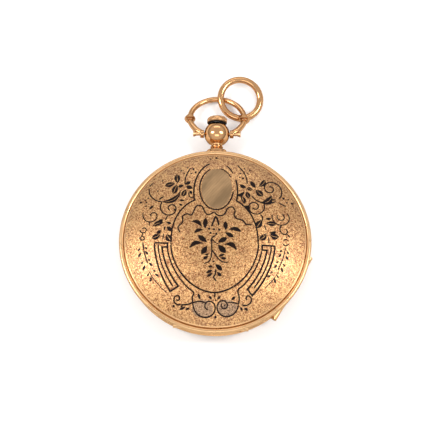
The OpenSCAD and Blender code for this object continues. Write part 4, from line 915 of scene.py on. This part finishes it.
def enamel_line(points, width, rise, sharp):
    """A band along a line on the lid, whose five points across are sunk at the edges and raised in the
    middle: the line plus half the width times its unit normal, which is longer in a sharp corner and tapers
    to an open end."""
    if sharp:
        line = corner_line(points, 0.25)
        runs = unit(np.diff(line, axis=0))
        after = np.vstack([runs, runs[-1:]])
        way = unit(np.vstack([runs[:1], runs]) + after)
        size = 1 / np.maximum((way * after).sum(1, keepdims=True), 0.5)
    else:
        line = smooth_curve(points, 0.14)
        way = unit(np.gradient(line, axis=0))
        k = np.arange(len(line))
        size = np.minimum(1, np.minimum(k, k[::-1]) * 0.35 + 0.45)[:, None]
    normal = np.stack([-way[:, 1], way[:, 0]], -1) * size
    across = np.array([-1.0, -0.72, 0, 0.72, 1.0])
    spots = line[:, None] + normal[:, None] * (across[None, :, None] * width / 2)
    return grid(on_lid(spots, np.array([SUNK, rise * 0.8, rise, rise * 0.8, SUNK])[None, :]), wrap=False)


def enamel_leaf(leaf, rise, low=-1.0, high=1.0):
    """A leaf from its tip to its base: half width is width times sin(pi u) to the power 1.05, its middle line
    bowed by bend times 4u(1-u), domed across as 1 - v squared, with v from low to high."""
    x, y, aim, length, width, bend = (*leaf, 0.0)[:6]
    reach = 0.5 * length * circle(aim)
    tip, axis = (x, y) + reach, -2 * reach
    side = np.array((-axis[1], axis[0])) / length
    u = np.linspace(0.02, 0.98, 13)[:, None]
    v = np.linspace(low, high, 7)[None, :]
    half = 0.5 * width * np.sin(np.pi * u**0.85) ** 1.05
    middle = tip + axis * u + side * (bend * length * 4 * u * (1 - u))
    lift = rise * (1 - 0.5 * v**2) + 0 * u
    lift[:, [0, -1]] = SUNK
    return grid(on_lid(middle[:, None] + side * (half * v)[..., None], lift), wrap=False)


def disc(x, y, wide, high, sides, rings, lifts):
    """An oval plate or drop on the lid: rings of an ellipse, scaled from its edge to its middle, each with
    its lift."""
    edge = circle(np.linspace(0, 360, sides, endpoint=False)) * (wide, high)
    return grid(on_lid((x, y) + np.array(rings)[:, None, None] * edge, np.array(lifts)[:, None]), poles=(-1,))


def enamel_dot(x, y, r, rise):
    return disc(x, y, r, r, 14, (1.0, 0.8, 0.4, 0.0), (SUNK, 0.8 * rise, rise, 1.1 * rise))


def field(x, y, wide, high):
    """Plate just over the ground, as the shield and the scroll fields are."""
    return disc(x, y, wide, high, 72, (1.0, 0.985, 0.95, 0.85, 0.7, 0.5, 0.25, 0.0),
                (-0.04, 0.012, *(0.018,) * 6))


class WATCH_OT_ornament(bpy.types.Operator):
    """Lay the black enamel lines, leaves and dots and the bare shield on the lid"""

    bl_idname = "watch.ornament"
    bl_label = "Lid ornament"

    def execute(self, context):
        s, made = context.scene.watch_sizes, all_materials()
        rise = s.enamel_rise / MM
        drawn = frame_lines() + key_lines() + wavy_lines() + flower_lines() + scroll_lines() + tendril_lines()
        lines = [enamel_line(p, w * s.line_scale, rise, w == KEY_WIDTH) for w, p in drawn]
        leaves = [enamel_leaf(v, rise) for v in PLAIN_LEAVES + edge_leaves()]
        leaves += [enamel_leaf(v, rise, *half) for v in RIBBED_LEAVES for half in ((-1, 0.04), (-0.04, 1))]
        dots = [enamel_dot(x, y, r, rise) for r, spots in ((LARGE_DOT, LARGE_DOTS), (SMALL_DOT, SMALL_DOTS))
                for x, y in spots]
        for name, parts, finish in (
            ("lid_lines", lines, "lid_enamel"),
            ("lid_leaves", leaves + dots, "lid_enamel"),
            ("lid_shield", [field(*SHIELD)], "shield_gold"),
            ("lid_scroll_fields", [field(*v) for v in SCROLL_FIELDS], "pitted_gold"),
        ):
            hand_over(make_piece(name, parts, made[finish], sharp=60), "front_cover", "lid_gold")
        return {"FINISHED"}


class WATCH_OT_band(bpy.types.Operator):
    """Deepen the gutter of the band under the front hinge, so that the lid's bead turns down into it"""

    bl_idname = "watch.band"
    bl_label = "Band"

    def execute(self, context):
        obj = merged_copy("case_band", "band_ring", all_materials()["case_gold"])
        carve(obj, moved(block((-HINGE_HALF, -3, -GUTTER), (HINGE_HALF, 0.02, -0.95)), FRONT_PLACE))
        smooth_edges(obj, 30)
        hand_over(obj, "watch", "case_gold", "case_band")
        return {"FINISHED"}


class WATCH_OT_back(bpy.types.Operator):
    """Build the domed back cover with its bead and hinge knuckles"""

    bl_idname = "watch.back"
    bl_label = "Back covers"

    def execute(self, context):
        lip, groove = bead(BACK_R, 0.4, 0.7), [(18.98, 0.58), (18.93, 0.66)]
        outer, inner = DOME_R * np.linspace(1, 0, 60), np.linspace(0, INSIDE_R, 36)
        profile = cover_profile(lip, groove, back_depth, outer, inner, 0.05)
        profile = (profile * (1, -1) + (0, BACK_SEAM))[::-1]
        notch = moved(block((-1.4, 0, -0.4), (1.4, 3.2, 0.4)), BACK_PLACE)
        nail = block((-BACK_R - 0.2, -1.8, BACK_SEAM - 0.22), (-BACK_R + 0.4, 1.8, BACK_SEAM + 0.08))
        cuts = [notch, moved(nail, turn(BACK_HINGE, "Z"))]
        obj = cover("back_shell", profile, BACK_PLACE, -4.6, 0.4, cuts, all_materials()["case_gold"])
        hand_over(obj, "back_cover", "case_gold", "back_cover")
        return {"FINISHED"}


# Axis of the winding stem, carried from Z to Y, and the frame of the bow at the middle of the ball
STEM_PLACE = shift(0, 0, STEM_Z) @ turn(-90, "X")
BALL_PLACE = shift(0, BALL_Y, STEM_Z)
# Outlines, as (radius, distance along the axis); of the collar the upper half, down to its middle
NECK = ((2.14, 20.52), (2.12, 20.66), (1.95, 20.8), (1.62, 20.92), (1.32, 21.1), (1.2, 21.32), (1.2, 21.42),
        (1.32, 21.52), (1.34, 21.64), (1.2, 21.76), (1.14, 21.95), (1.2, 22.14))
COLLAR = ((0.62, 0.75), (0.78, 0.72), (0.86, 0.62), (0.86, 0.5), (0.8, 0.42), (0.7, 0.38), (0.72, 0.34),
          (0.95, 0.3),
          (1.1, 0.22), (1.16, 0.1))
SCREW = ((0, 0), (0.5, 0), (0.58, 0.06), (0.6, 0.14), (0.57, 0.24), (0.46, 0.5), (0.37, 0.8),
         (0.37, SCREW_X - 1.35),
         (0.33, SCREW_X - 1.3), (0, SCREW_X - 1.3))
# Middle line of the bow's right arm, from its round part to its eye
BOW_ARM = ((BOW_R, BOW_MID + 0.4), (BOW_R, BOW_MID), (5.62, 3.3), (5.1, 2.2), (4.3, 1.1),
           (EYE_X + 0.55, 0.25))


def pendant_parts():
    """Foot, neck and ball: a ball cut flat where the crown goes in, on the curve of the neck, bored for the
    stem."""
    ball = circle(np.linspace(-61, math.degrees(math.asin(BALL_FLAT / BALL_R)), 36)) * BALL_R + (0, BALL_Y)
    start, end = BAND_R - 1.2, BALL_Y + BALL_FLAT
    foot = [(FOOT_R, start), (FOOT_R, FOOT_TOP)]
    bore = [(ball[-1, 0] - 0.05, end), (STEM_BORE, end), (STEM_BORE, start)]
    return [moved(turned(np.vstack([foot, smooth_curve(NECK, 0.06), ball, bore]), 96), STEM_PLACE)]


def bow_parts():
    """Half a ring, and at each side an arm that thickens, a flat eye, and a collar where arm and ring
    meet."""
    parts = [tube(flat(circle(np.linspace(0, 180, 90)) * BOW_R + (0, BOW_MID)), BOW_WIRE)]
    collar = np.array(((0, 0.75), *COLLAR))
    collar = np.vstack([collar * (1, -1), collar[::-1]])
    for side in (1, -1):
        arm = smooth_curve([(side * x, y, 0) for x, y in BOW_ARM], 0.15)
        parts.append(tube(arm, np.linspace(BOW_WIRE, BOW_WIRE + 0.1, len(arm))))
        parts.append(rounded_rod(EYE_R, *sorted((side * EYE_X, side * (EYE_X + EYE_T))), 48, 0.1))
        parts.append(moved(turned(collar, 64), shift(side * BOW_R, BOW_MID, 0) @ turn(-90, "X")))
    return [moved(p, BALL_PLACE @ turn(-BOW_DROOP, "X")) for p in parts]


def screw_parts():
    """The bow's two screws: a domed head on a shank that points to the middle of the ball."""
    return [moved(turned(SCREW, 40), BALL_PLACE @ turn(side, "Z") @ shift(SCREW_X, 0, 0) @ turn(-90, "Y"))
            for side in (0, 180)]


def ring_parts():
    """The jump ring: a circle of wire that leans on the floor and on the bow."""
    loop = tube(flat(circle(np.linspace(0, 360, 144, endpoint=False)) * RING_R), RING_WIRE, 40, True)
    lean = math.degrees(math.atan(math.hypot(*RING_LEAN)))
    way = math.degrees(math.atan2(RING_LEAN[1], RING_LEAN[0]))
    return [moved(loop, shift(*RING_AT) @ turn(way, "Z") @ turn(-lean, "Y"))]


class WATCH_OT_pendant(bpy.types.Operator):
    """Build the turned pendant with its ball, the bow, its screws, the jump ring and the crown"""

    bl_idname = "watch.pendant"
    bl_label = "Pendant and bow"

    def execute(self, context):
        made = all_materials()
        gold = made["pendant_gold"]
        obj = make_piece("pendant_body", pendant_parts(), gold)
        # The foot ends on the band and keeps clear of the lid and of the back cover
        for room in ((CASE_R + 0.08, FRONT_SEAM - 0.05, 12), (BACK_R + 0.08, -1, BACK_SEAM + 0.05),
                     (BAND_R + 0.005, -1, 12)):
            carve(obj, drum(*room))
        carve(obj, moved(rod(SCREW_BORE, -6, 6), BALL_PLACE))
        smooth_edges(obj, 35)
        hand_over(obj, "watch", "pendant_gold", "pendant")
        for name, parts, finish, body, node in (
            ("bow_wire", bow_parts(), gold, "bow", "bow"),
            ("bow_screw_pair", screw_parts(), made["case_gold"], "watch", "bow_screws"),
            ("jump_ring_wire", ring_parts(), gold, "jump_ring", "jump_ring"),
        ):
            hand_over(make_piece(name, parts, finish), body, "pendant_gold", node)
        # Painted shade: the crown's underside is coloured near black for the shadow between crown and ball.
        crown = merged_copy("crown", "crown_cap", made["crown_gold_painted_shade"])
        smooth_edges(crown, 30)
        hand_over(crown, "crown", "pendant_gold", "crown")
        return {"FINISHED"}


# Dial


def bar(a, b, w0, w1, z):
    """A low bar between two points of the dial, w0 wide at its first end and w1 at its last, between the
    heights z."""
    a, b = np.array(a, float), np.array(b, float)
    n = np.array((a[1] - b[1], b[0] - a[0])) / np.linalg.norm(b - a) / 2
    corners = np.array([a - n * w0, b - n * w1, b + n * w1, a + n * w0])
    points = np.vstack([np.c_[corners, [height] * 4] for height in z])
    return points, np.array([(3, 2, 1, 0), (4, 5, 6, 7), (0, 1, 5, 4), (1, 2, 6, 5), (2, 3, 7, 6),
                             (3, 0, 4, 7)])


def track(place, inner, outer, wide, line, z, steps):
    """Sixty strokes round a circle of the dial, every fifth with the first inner end and width, and the rings
    along them, given by their radii and, last, their width."""
    parts = []
    for k in range(60):
        way, small = circle(6 * k), min(k % 5, 1)
        parts.append(bar(inner[small] * way, outer * way, wide[small], wide[small], z))
    for r in line[:-1]:
        far = r + line[-1]
        parts.append(turned([(far, z[0]), (far, z[1]), (r, z[1]), (r, z[0])], steps))
    return [moved(p, place) for p in parts]


def numeral(text, height, z):
    """Roman numeral as bars: thick and thin strokes with thin feet, centred, its foot at 0. Its proportions
    are those of a numeral 3.2 high."""
    scale = height / 3.2
    thick, thin, gap = 0.5 * scale, 0.14 * scale, 0.22 * scale
    widths = [{"I": 0.62, "V": 1.9, "X": 1.9}[c] * scale for c in text]
    x = -(sum(widths) + gap * (len(text) - 1)) / 2
    bars = []
    for c, w in zip(text, widths):
        left, right, m = x + thick / 2, x + w - thick / 2, x + w / 2
        bars += {
            "I": [((m, 0), (m, height), thick, thick)],
            "V": [((left, height), (m, 0), thick, thick * 0.8), ((x + w - thin, height), (m, 0), thin, thin)],
            "X": [((left, height), (right, 0), thick, thick),
                  ((x + w - thin, height), (x + thin, 0), thin, thin)],
        }[c]
        bars += [((x - gap * 0.3, y), (x + w + gap * 0.3, y), thin, thin) for y in (0, height)]
        x += w + gap
    return [bar(*v, z) for v in bars]


class WATCH_OT_dial(bpy.types.Operator):
    """Lay the numerals, the minute track and the seconds track on the dial"""

    bl_idname = "watch.dial"
    bl_label = "Dial"

    def execute(self, context):
        z = np.array(MARKS) + DIAL_TOP
        sunk = z - SECONDS_SUNK
        parts = track(turn(0, "Z"), *MINUTE_TRACK, z, 180)
        parts += track(shift(SECONDS_X, 0, 0), *SECONDS_TRACK, sunk, 96) + seconds_figures(sunk)
        for hour, text in enumerate(("XII", "I", "II", "III", "IV", "V", "", "VII", "VIII", "IX", "X", "XI")):
            place = turn(90 - 30 * hour, "Z") @ shift(0, NUMERAL_R, 0)
            parts += [moved(p, place) for p in numeral(text, NUMERAL_HIGH, z)]
        hand_over(make_piece("dial_marks", parts, all_materials()["dial_ink"], sharp=30), "watch",
                  "dial_enamel")
        return {"FINISHED"}


def seconds_figures(z):
    """Figures 60, 15, 30 and 45 of the seconds dial, each digit made of up to seven strokes."""
    strokes = {"0": "abcdef", "1": "bc", "3": "abcdg", "4": "bcfg", "5": "acdfg", "6": "acdefg"}
    where = {"a": (0, 2, 1, 2), "b": (1, 1, 1, 2), "c": (1, 0, 1, 1), "d": (0, 0, 1, 0), "e": (0, 0, 0, 1),
             "f": (0, 1, 0, 2), "g": (0, 1, 1, 1)}
    middle = shift(-0.3, -FIGURE_HALF, 0)
    parts = []
    for text, a in (("60", 180), ("15", 90), ("30", 0), ("45", 270)):
        place = shift(SECONDS_X, 0, 0) @ turn(a, "Z") @ shift(FIGURE_R, 0, 0) @ turn(90 - a, "Z") @ middle
        for k, digit in enumerate(text):
            for x0, y0, x1, y1 in (where[part] for part in strokes[digit]):
                ends = ((x * FIGURE_WIDE + k * FIGURE_STEP, y * FIGURE_HALF) for x, y in ((x0, y0), (x1, y1)))
                parts.append(moved(bar(*ends, FIGURE_LINE, FIGURE_LINE, z), place))
    return parts


# Stage

PHOTO_PX = 432
PX_PER_MM = 4.81
CENTRE_PX = (215.2, 241.8)
VIEW_EL = 71.0
VIEW_ROLL = 0.9
LENS, SENSOR = 200.0, 36.0
FLOOR_HALF = 900
# Grey of the surroundings by how far to the side, and by how high, a direction points
SIDE_TONES = ((0.0, 1.0), (0.25, 0.97), (0.6, 1.0), (1.0, 0.8))
HEIGHT_TONES = ((0.0, 0.36), (0.25, 0.7), (0.5, 1.05), (0.8, 0.92), (1.0, 0.84))
# Share of the floor that stays white in the shadow
FLOOR_GLOW = 0.12
# Lamps: place, width and length, power and colour
LAMPS = {
    "left_lamp": ((-350, 20, 430), (120, 210), 1.25, (1.0, 0.985, 0.96)),
    "right_lamp": ((350, 20, 430), (120, 210), 1.25, (1.0, 0.985, 0.96)),
    "back_lamp": ((0, 420, 300), (400, 120), 0.3, (1.0, 0.98, 0.95)),
    "front_lamp": ((0, -270, 500), (360, 170), 0.45, (1.0, 0.99, 0.97)),
}


def pale_floor():
    """White floor: part of it is plain white to the eye and in reflections, and the rest takes the watch's
    shadow."""
    n = Nodes("pale_floor")
    n.finish(Base_Color=(0.94, 0.94, 0.945, 1), Roughness=0.9)
    path = n.add("LightPath").outputs
    seen = n.math("ADD", n.math("ADD", path["Is Camera Ray"], path["Is Glossy Ray"]),
                  path["Is Transmission Ray"])
    both = n.add("MixShader", Fac=n.math("MULTIPLY", seen, FLOOR_GLOW))
    n.join(n.tree.nodes["Principled BSDF"].outputs[0], both.inputs[1])
    n.join(n.add("Emission").outputs[0], both.inputs[2])
    n.join(both.outputs[0], n.tree.nodes["Material Output"].inputs["Surface"])
    return n.owner


def studio():
    """Surroundings: white to the camera, and otherwise a grey that goes with the side and height of a
    direction."""
    n = Nodes("studio", "worlds")
    way = n.add("SeparateXYZ", Vector=n.add("TexCoord").outputs["Generated"]).outputs
    side, height = (n.ramp(value, *((at, (tone, tone, tone, 1)) for at, tone in stops))
                    for value, stops in ((n.math("ABSOLUTE", way["X"]), SIDE_TONES),
                                         (way["Z"], HEIGHT_TONES)))
    grey = n.mix(1.0, side, height, "MULTIPLY")
    seen = n.add("LightPath").outputs["Is Camera Ray"]
    n.join(n.mix(seen, grey, (1, 1, 1, 1)), n.tree.nodes["Background"].inputs["Color"])
    return n.owner


def area_lamp(name, place, size, power, tone):
    """A soft rectangle of light that points at the watch."""
    data = bpy.data.lights.new(name, "AREA")
    data.shape, data.energy, data.color = "RECTANGLE", power, tone
    data.size, data.size_y = size[0] * MM, size[1] * MM
    lamp = bpy.data.objects.new(name, data)
    lamp.location = Vector(place) * MM
    lamp.rotation_euler = (Vector((0, 0, 6)) * MM - lamp.location).to_track_quat("-Z", "Y").to_euler()
    bpy.context.scene.collection.objects.link(lamp)


def photo_camera():
    """Camera at the photograph's height and roll, far off, aimed so that the case lies where it lies in the
    photo."""
    camera = bpy.data.cameras.new("camera")
    camera.lens, camera.sensor_width = LENS, SENSOR
    camera.clip_start, camera.clip_end = 0.02, 5.0
    view = bpy.data.objects.new("camera", camera)
    bpy.context.scene.collection.objects.link(view)
    el, roll = math.radians(VIEW_EL), math.radians(VIEW_ROLL)
    back, level_up = Vector((0, -math.cos(el), math.sin(el))), Vector((0, math.sin(el), math.cos(el)))
    up = math.cos(roll) * level_up - math.sin(roll) * Vector((1, 0, 0))
    right = math.cos(roll) * Vector((1, 0, 0)) + math.sin(roll) * level_up
    across, lift = PHOTO_PX / 2 - CENTRE_PX[0], CENTRE_PX[1] - PHOTO_PX / 2
    far = LENS / SENSOR * PHOTO_PX
    place = Matrix((right, up, back)).transposed().to_4x4()
    aim = Vector((0, 0, FRONT_SEAM))
    place.translation = (aim + (right * across + up * lift + back * far) / PX_PER_MM) * MM
    view.matrix_world = place
    return view


class WATCH_OT_stage(bpy.types.Operator):
    """Set the pale floor, the soft lights and the camera at the photograph's angle"""

    bl_idname = "watch.stage"
    bl_label = "Stage"

    def execute(self, context):
        scene, far = context.scene, FLOOR_HALF
        scene.view_settings.view_transform = "Standard"
        corners = np.array([(-far, -far, 0), (far, -far, 0), (far, far, 0), (-far, far, 0)])
        plane = make_piece("floor", [(corners, np.array([(0, 1, 2, 3)]))], pale_floor())
        scene.world = studio()
        for name, values in LAMPS.items():
            area_lamp(name, *values)
        scene.camera = photo_camera()
        return {"FINISHED"}


class WATCH_PT_panel(bpy.types.Panel):
    """Lists the steps that build the watch"""

    bl_label = "Hunter Watch"
    bl_idname = "WATCH_PT_panel"
    bl_space_type = "VIEW_3D"
    bl_region_type = "UI"
    bl_category = "Watch"

    def draw(self, context):
        layout = self.layout
        for step in STEPS:
            layout.operator(step.bl_idname)
        for group in (context.scene.watch_colours, context.scene.watch_sizes):
            for key in type(group).__annotations__:
                layout.prop(group, key)


STEPS = (WATCH_OT_finishes, WATCH_OT_front_lid, WATCH_OT_ornament, WATCH_OT_band, WATCH_OT_back,
         WATCH_OT_pendant, WATCH_OT_dial, WATCH_OT_stage)
CLASSES = (WatchColours, WatchSizes, *STEPS, WATCH_PT_panel)


def register():
    for cls in CLASSES:
        bpy.utils.register_class(cls)
    bpy.types.Scene.watch_colours = PointerProperty(type=WatchColours)
    bpy.types.Scene.watch_sizes = PointerProperty(type=WatchSizes)


def unregister():
    del bpy.types.Scene.watch_sizes
    del bpy.types.Scene.watch_colours
    for cls in reversed(CLASSES):
        bpy.utils.unregister_class(cls)


def main():
    register()
    for step in STEPS:
        area, name = step.bl_idname.split(".")
        getattr(getattr(bpy.ops, area), name)()


if __name__ == "__main__":
    main()
